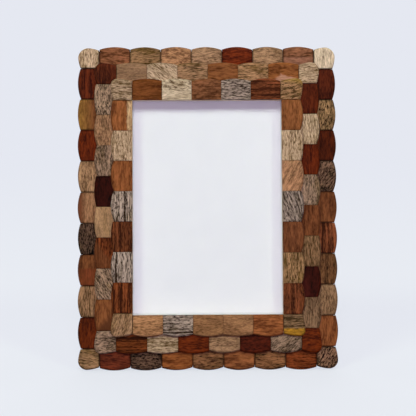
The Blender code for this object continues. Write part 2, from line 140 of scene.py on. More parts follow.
class TileSizes(bpy.types.PropertyGroup):
    """Sizes and shades of the wooden tiles."""

    width: length("Width", 203, "Across the crests of the outer tiles")
    height: length("Height", 254, "From the lowest to the highest crest of the outer tiles")
    pitch: length("Ring pitch", 13, "From one ring's crests to the next ring's")
    depth: length("Tile depth", 17, "From a tile's crest to its inner edge")
    thickness: length("Thickness", 2.2, "Of a tile, at its edges")
    glue: length("Glue line", 0.3, "Between a tile and what it is glued to")
    gap: length("Joint", 0.3, "Between tiles, where they are glued down")
    tight_gap: length("Tight joint", 0.1, "Between the faces of tiles in the middle and inner rings")
    outer_gap: length("Outer joint", 0.2, "Between tiles in the outer ring, at the outer edge")
    bow: length("Bow", 2.1, "How far a tile's outer edge falls back at its ends")
    corner_radius: length("Corner radius", 8.5, "Of the outer corner of a corner tile in the outer ring")
    corner_shrink: share("Corner shrink", 0.2, "How much of the corner radius each ring further in loses")
    low_corner: share("Low corner", 0.85, "Radius of the lower corners, as a share of the upper ones'")
    corner_bow: length("Corner bow", 2.0, "How far a corner tile's outer edges fall back at their ends")
    bow_start: share("Bow start", 0.8, "Share of the corner radius after which these edges fall back")
    corner_inset: length("Corner inset", 0.8, "From the crests of the outer rows to their corner tiles")
    side_inset: share("Side inset", 0.4, "Share of the corner inset on the corner tiles' upright edges")
    round_over: length("Round-over", 1.7, "Radius of a tile's outer edge")
    soft_edge: length("Soft edge", 0.25, "Radius of a tile's other edges")
    crown: length("Crown", 0.3, "How far a tile's face swells in the middle")
    calm_edge: length("Calm edge", 2, "Width along a tile's edges in which its crown and furrows fade out")
    least: length("Least thickness", 0.15, "Of a tile at the foot of its rounded edge")
    bedding: share("Bedding", 0.7, "Part of the glue line that a tile's back fills")
    shade_step: share("Shade step", 0.18, "How much each mark in the layout lightens or darkens a tile")
    # Painted shade: a tile darkens along its rounded outer edge (partly dirt too), along its joints, and all over
    # its sides and back.
    painted_shade_width: length("Shade width", 0.7, "Of the darker strip along a tile's edges")
    painted_edge_shade: share("Edge shade", 0.15, "How much a tile darkens along its outer edge")
    painted_outer_joint_shade: share("Outer joint shade", 0.65, "How much an outer tile darkens along its ends")
    painted_joint_shade: share("Joint shade", 0.1, "How much a middle or inner tile darkens along its ends")
    painted_wall_shade: share("Wall tone", 0.6, "Brightness of a tile's sides and back")
    seed: bpy.props.IntProperty(name="Seed", description="Picks the tiles' small differences", default=11)


class WoodColours(bpy.types.PropertyGroup):
    """Light, dark and accent colour of each wood."""

    __annotations__ = {
        f"{name}_{shade}": colour(f"{name.title()}, {shade}", code, f"{kind}: its {shade} colour")
        for name, (kind, *codes) in WOODS.items()
        for shade, code in zip(SHADES, codes)
    }


class BackSizes(bpy.types.PropertyGroup):
    """Sizes of the rails, the boards and the nails on the back."""

    rail_inset: length("Rail inset", 3.5, "From the outer crests to the rails' outer face")
    rebate: length("Rebate width", 6.25, "Of the step that holds the glass and the back")
    mitre: length("Mitre", 0.06, "Gap between two rails")
    back: length("Back", 8.25, "Depth of the rails' back face")
    rail_edge: length("Rail edge", 0.15, "Radius of the rails' edges behind the tiles")
    rail_corner: length("Rail corner", 1.2, "Radius of the rails' outer edge at the back")
    rebate_edge: length("Rebate edge", 0.5, "Radius of the rails' inner edge at the back")
    bare_edge: length("Bare edge", 0.1, "How far the opening's bare wood reaches round its edges")
    backing: length("Backing thickness", 3, "Of the backing board")
    clearance: length("Edge clearance", 0.5, "Between the backing board and the rebate")
    fit: length("Fit", 0.3, "Between two pieces of hardware that lie on each other")
    board_edge: length("Board edge", 0.5, "Radius of the edges of the boards")
    board_corner: length("Board corner", 1, "Radius of the backing board's corners")
    plate_edge: length("Plate edge", 0.18, "Radius of the edges of metal plates")
    nail_place: length("Nail place", 20, "From the crests to a corner nail")
    nail_leg: length("Nail leg", 7, "Of a corner nail")
    nail_thickness: length("Nail thickness", 0.8, "Of a corner nail")
    nail_depth: length("Nail depth", 6, "Of a corner nail in the rails")
    nail_proud: length("Nail proud", 0.08, "Of a corner nail's edge behind the rails")
    nail_bend: length("Nail bend", 0.25, "Radius of a corner nail's bend and ends")
    nail_edge: length("Nail edge", 0.1, "Radius of a corner nail's edges")


class HardwareSizes(bpy.types.PropertyGroup):
    """Sizes of the hinge, leg, turn buttons, screws and hanger."""

    screw_head: length("Screw head", 3.2, "Radius of a screw's head")
    screw_height: length("Screw height", 1.6, "Of a screw's head")
    screw_rim: length("Screw rim", 0.88, "Height of a screw's head at its rim")
    slot_width: length("Slot width", 0.8, "Of a screw's slot")
    slot_depth: length("Slot depth", 0.7, "Of a screw's slot")
    rivet_head: length("Rivet head", 2.2, "Radius of a rivet's head")
    rivet_height: length("Rivet height", 0.9, "Of a rivet's head")
    rivet_rim: length("Rivet rim", 0.135, "Height of a rivet's head at its rim")
    button_length: length("Button length", 26, "Of a turn button")
    button_width: length("Button width", 9, "Of a turn button")
    button_thickness: length("Button thickness", 1.2, "Of a turn button")
    button_rim: length("Button rim", 1.3, "Width of a turn button's rim round its dished face")
    button_dish: length("Button dish", 0.25, "Depth of a turn button's dished face")
    dish_slope: length("Dish slope", 0.5, "Width of the slope down into the dish")
    button_place: length("Button place", 4.5, "From the rebate to a turn button's screw")
    button_spread: length("Button spread", 110, "Between the upper and the lower turn buttons")
    hinge_height: length("Hinge height", 150, "Of the leg's hinge above the lowest tile edge")
    splay: angle("Splay", 12, "Of the open leg from upright")
    barrel: length("Barrel", 2, "Radius of the hinge's knuckles")
    pin: length("Pin", 0.9, "Radius of the hinge pin")
    pin_head: length("Pin head", 1.8, "Radius of the hinge pin's heads")
    pin_head_length: length("Pin head length", 0.8, "Of the hinge pin's heads")
    leaf_thickness: length("Leaf thickness", 0.7, "Of the hinge's leaves and the hanger's strap")
    leaf_width: length("Leaf width", 30, "Of the hinge's leaves")
    leaf_length: length("Leaf length", 20, "Of the hinge's leaves, from the pin")
    leaf_corner: length("Leaf corner", 2.5, "Radius of the leaves' outer corners")
    rivet_spacing: length("Rivet spacing", 18, "Between two rivets of a leaf")
    rivet_reach: length("Rivet reach", 14, "From the pin to the rivets")
    knuckle: length("Knuckle", 11, "Of the middle knuckle")
    knuckle_gap: length("Knuckle gap", 0.4, "Between two knuckles")
    notch: length("Notch", 0.5, "From a knuckle to the other leaf")
    notch_corner: length("Notch corner", 0.4, "Radius of the corners of the leaves' notches")
    stop_length: length("Stop length", 6, "Of the toe that stops the leg")
    stop_thickness: length("Stop thickness", 1.2, "Of the toe that stops the leg")
    stop_corner: length("Stop corner", 0.3, "Radius of the toe's edges")
    leg_thickness: length("Leg thickness", 3, "Of the easel leg")
    leg_top: length("Leg top", 36, "Width of the leg at its hinge")
    leg_foot: length("Leg foot", 62, "Width of the leg at its foot")
    leg_top_corner: length("Leg top corner", 2.5, "Radius of the leg's corners at its hinge")
    leg_foot_corner: length("Leg foot corner", 1.5, "Radius of the leg's corners at its foot")
    leg_clearance: length("Leg clearance", 0.7, "Between the barrel and the leg")
    strap_width: length("Strap width", 10, "Of the hanger's strap")
    strap_length: length("Strap length", 16, "Of the hanger's strap, from the ring")
    strap_corner: length("Strap corner", 3, "Radius of the strap's corners at its free end")
    strap_fold: length("Strap fold", 0.3, "Radius of the strap's corners at its eye")
    strap_hole: length("Strap hole", 10.5, "From the ring to the strap's screw")
    hanger_drop: length("Hanger drop", 22, "From the highest crest to the ring's bar")
    wire: length("Wire", 1, "Radius of the ring's wire")
    wire_clearance: length("Wire clearance", 0.3, "Between the wire and the strap")
    ring_bar: length("Ring bar", 6, "Half the ring's straight bar")
    ring_corner: length("Ring corner", 2.5, "Radius of the ring's two corners")


class StageSettings(bpy.types.PropertyGroup):
    """Camera, light and background."""

    distance: length("Camera distance", 1200, "From the camera to the point it looks at")
    elevation: angle("Camera elevation", 10.0, "Of the camera above the level")
    azimuth: angle("Camera azimuth", -0.83, "Of the camera from straight ahead, to the right")
    roll: angle("Camera roll", -0.13, "Of the camera about its line of sight")
    aim_across: length("Aim across", 0.48, "Of the point the camera looks at, from the frame's middle")
    aim_up: length("Aim up", 126.5, "Of the point the camera looks at, along the frame")
    lens: bpy.props.FloatProperty(
        name="Lens", description="Focal length in millimetres", default=132.5, unit="CAMERA"
    )
    sight: length("Sight", 20000, "How far the camera sees")
    background: colour("Background", "#e5e8f1", "Of the floor and everything behind it")
    floor: colour("Floor", "#eceef3", "Of the floor's board, where light falls on it")
    bounce: colour("Bounce", "#5f5c64", "Of the light that the floor throws back onto the frame")
    floor_reach: length("Floor reach", 30000, "From the frame to the edges of the floor")
    shade_near: length("Shade near", 200, "From the frame to where the floor's shading begins to fade")
    shade_far: length("Shade far", 1200, "From the frame to where the floor's shading has faded out")
    even_part: share("Even part", 0.8, "How much of the floor beside the frame is its even colour")
    fill: colour("Fill light", "#f0ccff", "Of the soft light from all round")
    fill_level: share("Fill level", 0.05, "Brightness of the light from all round")
    key: colour("Key light", "#eeeeff", "Of the soft box above the front")
    key_level: share("Key level", 0.425, "Brightness of white that faces the soft box above the front")
    side: colour("Side light", "#efffd4", "Of the soft boxes above, to the left and right of the front")
    left_level: share("Left level", 0.38, "Brightness of white that faces the left soft box")
    right_level: share("Right level", 0.27, "Brightness of white that faces the right soft box")
    low: colour("Low light", "#fae0fe", "Of the soft box in front, near the floor")
    low_level: share("Low level", 0.31, "Brightness of white that faces the low soft box")
    rim: colour("Rim light", "#ffffff", "Of the soft boxes beside and behind the frame")
    rim_level: share("Rim level", 0.45, "Brightness of white that faces a soft box beside the frame")
    back_level: share("Back level", 0.74, "Brightness of white that faces the soft box behind the frame")
    lamp_distance: length("Lamp distance", 5000, "From the frame to the soft boxes")


GROUPS = {
    "mosaic_tiles": TileSizes,
    "mosaic_woods": WoodColours,
    "mosaic_back": BackSizes,
    "mosaic_hardware": HardwareSizes,
    "mosaic_stage": StageSettings,
}

# A ring's name, and its tiles along the top or bottom and along each side, without the corner tiles.
RINGS = (("outer", 7, 9), ("middle", 6, 8), ("inner", 5, 7))
SIDES = ("top", "bottom", "left", "right")
LEVEL_SIDES = ("top", "bottom")
CORNERS = ("top_left", "top_right", "bottom_left", "bottom_right")

# The wood of each tile, from left to right or from top to bottom. Each + or - makes it a shade lighter or
# darker, and a number after @ turns its grain, in degrees.
LAYOUT = {
    "outer": {
        "top": "russet+ olive- rose tan+ rosewood+++ tan+ russet+",
        "bottom": "rosewood++ smoked-- orange+ walnut+ orange++ walnut+ striped",
        "left": "rosewood orange- rosewood+ tan+ amber- smoked-- orange- olive- rosewood",
        "right": "rosewood- zebra rosewood-- smoked@-30 orange- striped+ walnut- tan- orange+",
        "top_left": "straw+@90",
        "top_right": "cream+@90",
        "bottom_left": "olive-@-10",
        "bottom_right": "smoked++@60",
    },
    "middle": {
        "top": "sandy- straw@-35 olive orange+ olive+ orange++",
        "bottom": "striped- straw- rosewood++ tan ebony++ ashen-@30",
        "left": "ashen+ rose- ashen ebony--- sandy striped ashen@30 orange",
        "right": "rosewood- straw rosewood ashen orange- olive-- ebony-- tan--",
        "top_left": "rosewood-@90",
        "top_right": "straw",
        "bottom_left": "ashen",
        "bottom_right": "rosewood++",
    },
    "inner": {
        "top": "orange- cream+ russet weathered striped+",
        "bottom": "amber weathered honey honey+ orange+++",
        "left": "orange++ straw orange+ weathered+ striped- weathered striped+",
        "right": "orange+ straw amber+@-30 weathered-@20 orange- olive striped",
        "top_left": "straw-",
        "top_right": "olive@15",
        "bottom_left": "tan+@70",
        "bottom_right": "olive--",
    },
}

# How far the first and the last joint of a row lie from their even places, in millimetres to the right
# or downwards.
SHIFTS = {
    "outer_right": (1.2, -0.8),
    "middle_top": (0.6, 0.9),
    "middle_bottom": (0, 1.3),
    "middle_left": (0, -1.0),
    "middle_right": (0, -2.2),
    "inner_top": (0, -0.7),
    "inner_left": (0.2, -1.4),
}

# Tiles that are partly another colour: the colour, and one or two edges of that part. An edge has the way
# towards the part in the picture, in degrees from the right, the part's share of the tile, and its softness
# as a share too.
BANDS = {
    "outer_top_7": ("#98674e", (-90, 0.5, 0.08)),
    "outer_left_2": ("#9f6f30", (180, 0.42, 0.6)),
    "outer_left_5": ("#74452d", (180, 0.28, 0.25)),
    "middle_top_6": ("#b0816a", (-106, 0.46, 0.04), (-55, 0.52, 0.06)),
    "outer_left_7": ("#74391d", (-90, 0.55, 0.04)),
    "middle_left_6": ("#744428", (-145, 0.45, 0.08)),
    "middle_left_8": ("#5b341d", (-45, 0.4, 0.15)),
    "inner_left_1": ("#cba77c", (0, 0.24, 0.06)),
    "inner_top_right": ("#b8924a", (80, 0.16, 0.25)),
    "inner_bottom_right": ("#b27c1a", (-90, 0.36, 0.05)),
}

# Tiles with many dark flecks, and the edges of the part that has them.
FLECKS = {
    "middle_left_1": [(-90, 0.5, 0.2)],
    "inner_top_2": [(90, 0.5, 0.1)],
    "inner_left_1": [(0, 0.24, 0.06)],
    "inner_top_right": [(-90, 1, 0.2)],
    "inner_right_6": [(0, 0.6, 0.3)],
    "inner_bottom_right": [(-90, 0.36, 0.05)],
    "outer_right_2": [(-90, 1, 0.2)],
    "outer_bottom_right": [(-90, 1, 0.2)],
}

# Streaks along the grain of single tiles: a streak's place across the tile, from the left or from below,
# its width in millimetres and how much darker it is, and for a short one its place along the tile and its
# length as a share.
Streak = namedtuple("Streak", "across width dark along long", defaults=(0.5, 4))
STREAKS = {
    "outer_top_7": [(0.52, 0.9, 0.5), (0.52, 2.4, 0.8, 0.61, 0.1)],
    "outer_left_1": [(0.44, 1.6, -0.6), (0.3, 1.2, 0.5), (0.62, 1, 0.4)],
    "outer_right_6": [(0.33, 1.2, 0.8), (0.59, 1, 0.6), (0.85, 2.5, -0.5)],
    "middle_bottom_1": [(0.51, 0.8, -0.6), (0.7, 2.2, 0.5)],
    "middle_bottom_2": [(0.53, 0.8, 0.5), (0.68, 0.9, 0.4), (0.37, 0.7, 0.4)],
    "middle_bottom_left": [(0.7, 0.9, 0.7), (0.56, 0.7, 0.5), (0.4, 0.7, 0.4)],
    "inner_top_2": [
        (0.66, 2.2, 0.7, 0.1, 0.16),
        (0.58, 1.2, 0.7, 0.27, 0.12),
        (0.82, 1.6, 0.9, 0.36, 0.1),
        (0.6, 1.0, 0.8, 0.48, 0.08),
        (0.66, 2.0, 0.7, 0.64, 0.2),
        (0.76, 1.0, 0.4, 0.9, 0.1),
    ],
    "inner_top_5": [(0.84, 1.6, 0.5), (0.5, 0.9, 0.6), (0.22, 0.9, 0.5)],
    "inner_top_left": [(0.57, 0.9, 0.7), (0.36, 0.8, 0.4), (0.78, 0.7, 0.4)],
    "inner_left_4": [(0.66, 1.3, 0.6), (0.45, 1.5, -0.4)],
    "inner_left_5": [(0.55, 1.8, 0.4), (0.28, 0.8, -0.5)],
    "inner_left_6": [(0.25, 1.4, 0.9), (0.6, 2, -0.4)],
    "inner_left_7": [(0.47, 1.6, 0.7), (0.1, 1.4, 0.6), (0.85, 0.8, 0.4)],
    "inner_bottom_2": [(0.2, 1, 0.8), (0.33, 0.8, 0.5), (0.1, 1, -0.4), (0.27, 0.7, -0.4)],
    "inner_bottom_right": [(0.47, 1, 0.8), (0.66, 0.8, 0.5), (0.82, 0.7, 0.4)],
}

# How each wood's grain looks: length and width of its pores and of its growth rings in millimetres, how
# strongly its fibres, pores and rings darken it, its roughness, the height of its furrows in millimetres,
# and how strongly its accent colour shows in patches.
Grain = namedtuple("Grain", "pore_size ring_size fibres pores rings rough relief patches")
GRAIN = {
    "cream": Grain((3.2, 0.75), (14, 2.0), 0.37, 0.29, 0.25, 0.62, 0.08, 0.3),
    "straw": Grain((3.2, 0.75), (14, 2.0), 0.6, 0.5, 0.3, 0.62, 0.1, 0.4),
    "tan": Grain((2.9, 0.7), (12, 2.2), 0.6, 0.5, 0.4, 0.6, 0.07, 0.4),
    "sandy": Grain((2.4, 0.8), (14, 2.6), 0.55, 0.15, 0.45, 0.58, 0.05, 0.3),
    "olive": Grain((3.5, 0.65), (12, 1.8), 0.6, 0.5, 0.5, 0.58, 0.07, 0.5),
    "honey": Grain((2.4, 0.9), (12, 3.2), 0.55, 0.15, 0.4, 0.5, 0.03, 0.2),
    "amber": Grain((3.0, 0.75), (12, 2.4), 0.55, 0.2, 0.4, 0.52, 0.03, 0.3),
    "rose": Grain((2.4, 0.9), (10, 2.6), 0.65, 0.5, 0.4, 0.6, 0.07, 0.4),
    "orange": Grain((4.2, 1.1), (16, 3.4), 0.5, 0.15, 0.5, 0.48, 0.03, 0.0),
    "russet": Grain((3.8, 1.2), (12, 3.6), 0.6, 0.2, 0.45, 0.46, 0.03, 0.3),
    "striped": Grain((3.4, 0.75), (36, 1.6), 0.5, 0.15, 0.65, 0.45, 0.03, 0.3),
    "rosewood": Grain((3.6, 0.9), (16, 2.9), 0.55, 0.05, 0.5, 0.42, 0.02, 0.2),
    "ebony": Grain((3.0, 1.3), (12, 4.0), 0.5, 0.15, 0.4, 0.42, 0.02, 0.2),
    "ashen": Grain((2.5, 0.8), (10, 2.4), 0.65, 0.5, 0.4, 0.66, 0.1, 0.35),
    "weathered": Grain((3.4, 0.9), (16, 2.2), 0.65, 0.7, 0.35, 0.7, 0.16, 0.4),
    "smoked": Grain((2.4, 0.85), (9, 2.4), 0.75, 0.7, 0.35, 0.62, 0.1, 0.4),
    "walnut": Grain((3.4, 0.65), (12, 2.0), 0.55, 0.35, 0.4, 0.55, 0.05, 0.4),
    "zebra": Grain((2.9, 0.65), (12, 2.0), 0.6, 1.2, 0.4, 0.58, 0.1, 0.3),
    "base": Grain((6, 0.7), (36, 2.8), 0.5, 0.3, 0.5, 0.7, 0.05, 0.3),
    "lip": Grain((4, 0.7), (24, 2.4), 0.4, 0.2, 0.4, 0.7, 0.05, 0.3),
}

# Each metal's light and dark colour, its roughness, and the lines of its rolling or polishing in a metre
# along X, Y and Z. Real ones are finer than 0.1 mm; these are as coarse as they need to be to show.
METALS = {
    # Brass-plated pressed steel, satin: warm yellow, with lines 0.4 mm apart across it.
    "satin_brass_plate": ("#d8b56c", "#a98444", 0.34, (2500, 300, 300)),
    # Zinc-plated steel: slightly blue and mottled, with lines 0.4 mm apart along it.
    "zinc_plated_steel": ("#c9ccd2", "#969ba3", 0.32, (300, 300, 2500)),
    # Cut sheet steel, oiled and left bare: grey and evenly speckled.
    "bright_nail_steel": ("#b9bbc0", "#77797f", 0.4, (900, 900, 900)),
}

# Light and dark colour of what is pressed from fibres, the size of its specks in millimetres, its
# roughness, and the height of the specks in millimetres.
FIBRES = {
    # Smooth matt paper: nearly white and even.
    "matt_print_paper": ("#e8ebf0", "#e3e6ec", 0.35, 0.9, 0.01),
    # Board of recycled fibres: dull grey-brown with fine specks.
    "grey_board": ("#a39a8a", "#857b6b", 0.5, 0.95, 0.05),
    # Fibreboard faced with black paper: near black, with a soft texture.
    "black_faced_fibreboard": ("#383634", "#151413", 0.8, 0.8, 0.1),
    # Sawn edge of that board: bare brown fibres.
    "sawn_fibreboard_edge": ("#7a5a3c", "#4f3822", 0.4, 0.95, 0.08),
}

# Ranges of the small seeded differences between tiles.
SPREAD = {
    # Shares of what is set.
    "outer_bow": (0.9, 1.1),
    "bow": (0.6, 1.1),
    "round_over": (0.85, 1.1),
    "crown": (0.3, 1),
    "value": (0.94, 1.06),
    # Millimetres.
    "skew": (-0.25, 0.25),
    "pattern_place": (-900, 900),
    "ridge_width": (0.9, 2.8),
    "sway_length": (9, 22),
    # Turns of a ridge's wave.
    "sway": (0.1, 0.35),
    "phase": (0, 1),
    # Slope of the face.
    "tilt": (-0.008, 0.008),
    # Colour, where a hue of 0.5 and a saturation of 1 leave it as it is.
    "hue": (0.497, 0.503),
    "saturation": (0.97, 1.03),
}

# Hue, saturation and value that leave a wood's colour as it is.
PLAIN_TONE = (0.5, 1, 1)

# Points of a piece that are no further apart than this are made one.
MERGE = 0.001 * MM

# Points along and across a tile of a row, points along both edges of a corner tile, the number of waves
# that make up a tile's furrows, and loops of points along a rail.
ROW_GRID = (45, 35)
CORNER_GRID = 39
RIDGE_WAVES = 5
RAIL_LOOPS = 33

# How much darker flecks make a tile, and its furrows for each millimetre of their height. Its ridges are
# lighter, up to a share of that.
FLECK_SHADE = 1.5
FURROW_SHADE = 3
RIDGE_SHARE = 0.5

# How far a streak wanders aside, in millimetres, how fast along its tile, and how far it is from the next
# one in that, both in radians.
WANDER = 0.4
WANDER_RUN = 5
WANDER_STEP = 2

# Waves of a part's edge: height as a share of the tile, length in millimetres and start in radians.
WAVER = ((0.012, 1.9, 0), (0.01, 0.7, 1))

# Where the rounds of an eased edge pass their middle, as a share of their radius.
EASE = 0.3

# Half section of a pin's head, from its end: shares of its length and of its radius.
PIN_DOME = ((1, 0.35), (0.85, 0.75), (0.5, 1), (0, 1))

# Each soft box's way, from straight out of the frame's face to the right and up, and its width and height
# as seen from the frame, all in degrees, and the settings that hold its colour and its level.
SOFT_BOXES = {
    "key": ((0, 37.5), (14, 18), "key", "key_level"),
    "left": ((-36.5, 33), (17, 16), "side", "left_level"),
    "right": ((37, 33.5), (9, 16), "side", "right_level"),
    "low": ((0, -7), (16, 9), "low", "low_level"),
    "left_rim": ((-102, 12), (40, 50), "rim", "rim_level"),
    "right_rim": ((102, 12), (40, 50), "rim", "rim_level"),
    "back": ((180, 36), (60, 30), "rim", "back_level"),
}


def settings(name):
    """A group of settings, as the scene holds it."""
    return getattr(bpy.context.scene, name)


def node(tree, kind, inputs=None, output=0, **options):
    """Adds a node to a tree, sets its options, sets or links its inputs, and gives one of its outputs."""
    made = tree.nodes.new("ShaderNode" + kind)
    for key, value in options.items():
        setattr(made, key, value)
    for key, value in (inputs or {}).items():
        if isinstance(value, bpy.types.NodeSocket):
            tree.links.new(value, made.inputs[key])
        else:
            made.inputs[key].default_value = value
    return made.outputs[output] if made.outputs else None


def material(name, surface, *look):
    """The material of a name. Its first use makes it, from the shader that surface(tree, *look) gives."""
    made = bpy.data.materials.get(name)
    if made is None:
        made = bpy.data.materials.new(name)
        made.use_nodes = True
        tree = made.node_tree
        tree.nodes.clear()
        node(tree, "OutputMaterial", {"Surface": surface(tree, *look)})
    return made


def oiled_wood(tree, name):
    """Oiled hardwood: fine fibres, short dark pores along the grain, softer streaks of the growth rings,
    patches of an accent colour, furrows that catch the light, and a satin shine, duller in the pores."""
    look = GRAIN[name]
    light, dark, accent = (getattr(settings("mosaic_woods"), f"{name}_{shade}") for shade in SHADES)
    # The tile's hue, saturation and value come in as an attribute, with its painted shade along edges, joints,
    # sides and back.
    grain, tone = (
        node(tree, "Attribute", output="Vector", attribute_name=key) for key in ("grain", "tone")
    )
    fleck, ridge, band = (
        node(tree, "Attribute", output="Fac", attribute_name=key) for key in ("fleck", "ridge", "band")
    )
    stain = node(tree, "Attribute", output="Color", attribute_name="stain")
    # The grain drifts 2.5 mm aside in clouds that are 22 mm long and 8 mm wide.
    wide = node(tree, "Mapping", {"Vector": grain, "Scale": (1 / 22, 1 / 8, 1 / 8)})
    cloud = node(tree, "TexNoise", {"Vector": wide, "Scale": 1, "Detail": 2})
    drift = {0: cloud.node.outputs["Color"], 1: (0, 2.5, 2.5), 2: grain}
    bent = node(tree, "VectorMath", drift, operation="MULTIPLY_ADD")
    # Fibres and rings change evenly from light to dark; pores are only the darkest parts of their pattern.
    layers = (
        (look.pore_size, (0, 0, 0), 0.35, 0.65),
        (look.pore_size, (40, 20, 60), 0.54, 0.66),
        (look.ring_size, (0, 0, 0), 0.35, 0.65),
    )
    fields = []
    for (long, thin), start, low, high in layers:
        scale = (1 / long, 1 / thin, 1 / thin)
        place = node(tree, "Mapping", {"Vector": bent, "Location": start, "Scale": scale})
        noise = node(tree, "TexNoise", {"Vector": place, "Scale": 1, "Detail": 3, "Roughness": 0.55})
        limits = {"Value": noise, "From Min": low, "From Max": high}
        fields.append(node(tree, "MapRange", limits, interpolation_type="SMOOTHSTEP"))
    fibres, pores, rings = fields
    limits = {"Value": cloud, "From Min": 0.3, "From Max": 0.7, "To Min": -0.2, "To Max": 0.2}
    slow = node(tree, "MapRange", limits)
    depth = ridge
    parts = ((pores, fleck), (slow, 1), (fibres, look.fibres), (pores, look.pores), (rings, look.rings))
    for field, strength in parts:
        depth = node(tree, "Math", {0: field, 1: strength, 2: depth}, operation="MULTIPLY_ADD")
    depth = node(tree, "Clamp", {"Value": depth})
    # Patches and stained bands keep the grain of the wood under them, a little weaker.
    limits = {"Value": cloud, "From Min": 0.5, "From Max": 0.75, "To Max": look.patches}
    patch = node(tree, "MapRange", limits, interpolation_type="SMOOTHSTEP")
    weaker = node(tree, "Math", {0: depth, 1: 0.7}, operation="MULTIPLY")
    mixed = node(tree, "Mix", {0: depth, 6: light, 7: dark}, output=2, data_type="RGBA")
    for part, tint in ((patch, accent), (band, stain)):
        tinted = node(tree, "Mix", {0: weaker, 6: tint, 7: dark}, output=2, data_type="RGBA")
        mixed = node(tree, "Mix", {0: part, 6: mixed, 7: tinted}, output=2, data_type="RGBA")
    hue, saturation, value = node(tree, "SeparateXYZ", {"Vector": tone}).node.outputs
    change = {"Hue": hue, "Saturation": saturation, "Value": value, "Color": mixed}
    toned = node(tree, "HueSaturation", change)
    dull = node(tree, "MapRange", {"Value": depth, "To Min": look.rough, "To Max": look.rough + 0.2})
    furrows = node(tree, "Math", {0: 1, 1: depth}, operation="SUBTRACT")
    bump = node(tree, "Bump", {"Height": furrows, "Distance": look.relief * MM, "Strength": 1})
    shine = {"Base Color": toned, "Roughness": dull, "Normal": bump, "Specular IOR Level": 0.025}
    return node(tree, "BsdfPrincipled", shine)


def plated_metal(tree, light, dark, rough, lines):
    """Plated sheet or wire: fine lines of the rolling or polishing, and duller, darker patches from
    handling, 6 mm wide."""
    place = node(tree, "TexCoord", output="Object")
    brushed = node(tree, "Mapping", {"Vector": place, "Scale": lines})
    line = node(tree, "TexNoise", {"Vector": brushed, "Scale": 1, "Detail": 2})
    patch = node(tree, "TexNoise", {"Vector": place, "Scale": 1 / (6 * MM), "Detail": 3})
    worn = node(tree, "MapRange", {"Value": patch, "From Min": 0.4, "From Max": 0.7})
    tint = node(tree, "Mix", {0: worn, 6: linear(light), 7: linear(dark)}, output=2, data_type="RGBA")
    dull = node(tree, "MapRange", {"Value": patch, "To Min": rough - 0.06, "To Max": rough + 0.14})
    bump = node(tree, "Bump", {"Height": line, "Distance": 0.02 * MM, "Strength": 0.5})
    shine = {"Base Color": tint, "Roughness": dull, "Normal": bump, "Metallic": 1}
    return node(tree, "BsdfPrincipled", shine)


def pressed_fibres(tree, light, dark, speck, rough, height):
    """Pressed fibres, as in paper, card and fibreboard: specks of their size over clouds 14 mm wide."""
    place = node(tree, "TexCoord", output="Object")
    fine = node(tree, "TexNoise", {"Vector": place, "Scale": 1 / (speck * MM), "Detail": 2})
    cloud = node(tree, "TexNoise", {"Vector": place, "Scale": 1 / (14 * MM), "Detail": 3})
    both = node(tree, "Math", {0: fine, 1: cloud}, operation="MULTIPLY")
    shade = node(tree, "MapRange", {"Value": both, "From Min": 0.12, "From Max": 0.42})
    tint = node(tree, "Mix", {0: shade, 6: linear(dark), 7: linear(light)}, output=2, data_type="RGBA")
    bump = node(tree, "Bump", {"Height": fine, "Distance": height * MM, "Strength": 0.6})
    return node(tree, "BsdfPrincipled", {"Base Color": tint, "Normal": bump, "Roughness": rough})


def float_glass(tree):
    """Float glass, 2 mm thick: clear straight through, with a weak mirror that grows at low angles."""
    through = node(tree, "BsdfTransparent", {"Color": (1, 1, 1, 1)})
    mirror = node(tree, "BsdfGlossy", {"Roughness": 0.02})
    leaving = node(tree, "NewGeometry", output="Backfacing")
    entering = node(tree, "Math", {0: 1, 1: leaving}, operation="SUBTRACT")
    bend = node(tree, "Fresnel", {"IOR": 1.5})
    part = node(tree, "Math", {0: bend, 1: entering}, operation="MULTIPLY")
    return node(tree, "MixShader", {0: part, 1: through, 2: mirror})


def seen(tree):
    """1 for rays from the camera, and for those that a mirror or glass sends on."""
    any_ray = 0
    for ray in ("Is Camera Ray", "Is Glossy Ray", "Is Transmission Ray"):
        is_ray = node(tree, "LightPath", output=ray)
        any_ray = node(tree, "Math", {0: any_ray, 1: is_ray}, operation="MAXIMUM")
    return any_ray


def studio_board(tree):
    """Pale matt board. Most of what the camera sees of it is its even colour; near the frame the rest is
    lit and shaded, and keeps its shadow."""
    stage = settings("mosaic_stage")
    # The floor throws back less light than a white one, so that the shadow in the opening stays clear.
    bounced = node(tree, "LightPath", output="Is Diffuse Ray")
    shade = node(tree, "Mix", {0: bounced, 6: stage.floor, 7: stage.bounce}, output=2, data_type="RGBA")
    lit = node(tree, "BsdfDiffuse", {"Color": shade})
    even = node(tree, "Emission", {"Color": stage.background, "Strength": 1})
    place = node(tree, "TexCoord", output="Object")
    away = node(tree, "VectorMath", {0: place}, output="Value", operation="LENGTH")
    limits = {"From Min": stage.shade_near, "From Max": stage.shade_far, "To Min": stage.even_part}
    calm = node(tree, "MapRange", {"Value": away, **limits}, interpolation_type="SMOOTHSTEP")
    part = node(tree, "Math", {0: seen(tree), 1: calm}, operation="MULTIPLY")
    return node(tree, "MixShader", {0: part, 1: lit, 2: even})


def wood(name):
    """A wood of the tiles or the rails."""
    return material(f"{name}_hardwood", oiled_wood, name)


def metal(name):
    """A metal of the hinge, the hanger, the screws or the nails."""
    return material(name, plated_metal, *METALS[name])


def fibre(name):
    """A paper, card or board."""
    return material(name, pressed_fibres, *FIBRES[name])


def boards():
    """Finishes of a board: its face, and its sawn edge."""
    return [fibre("black_faced_fibreboard"), fibre("sawn_fibreboard_edge")]


def turn_about_x(points, tilt):
    """Points turned about the X axis, from Y towards Z."""
    x, y, z = np.moveaxis(np.asarray(points, float), -1, 0)
    cos, sin = math.cos(tilt), math.sin(tilt)
    return np.stack([x, y * cos - z * sin, y * sin + z * cos], -1)


def hinge_axis():
    """Middle of the leg's hinge pin on the upright frame."""
    back, sizes = settings("mosaic_back"), settings("mosaic_hardware")
    return np.array([0, back.back + back.fit + sizes.barrel, sizes.hinge_height])


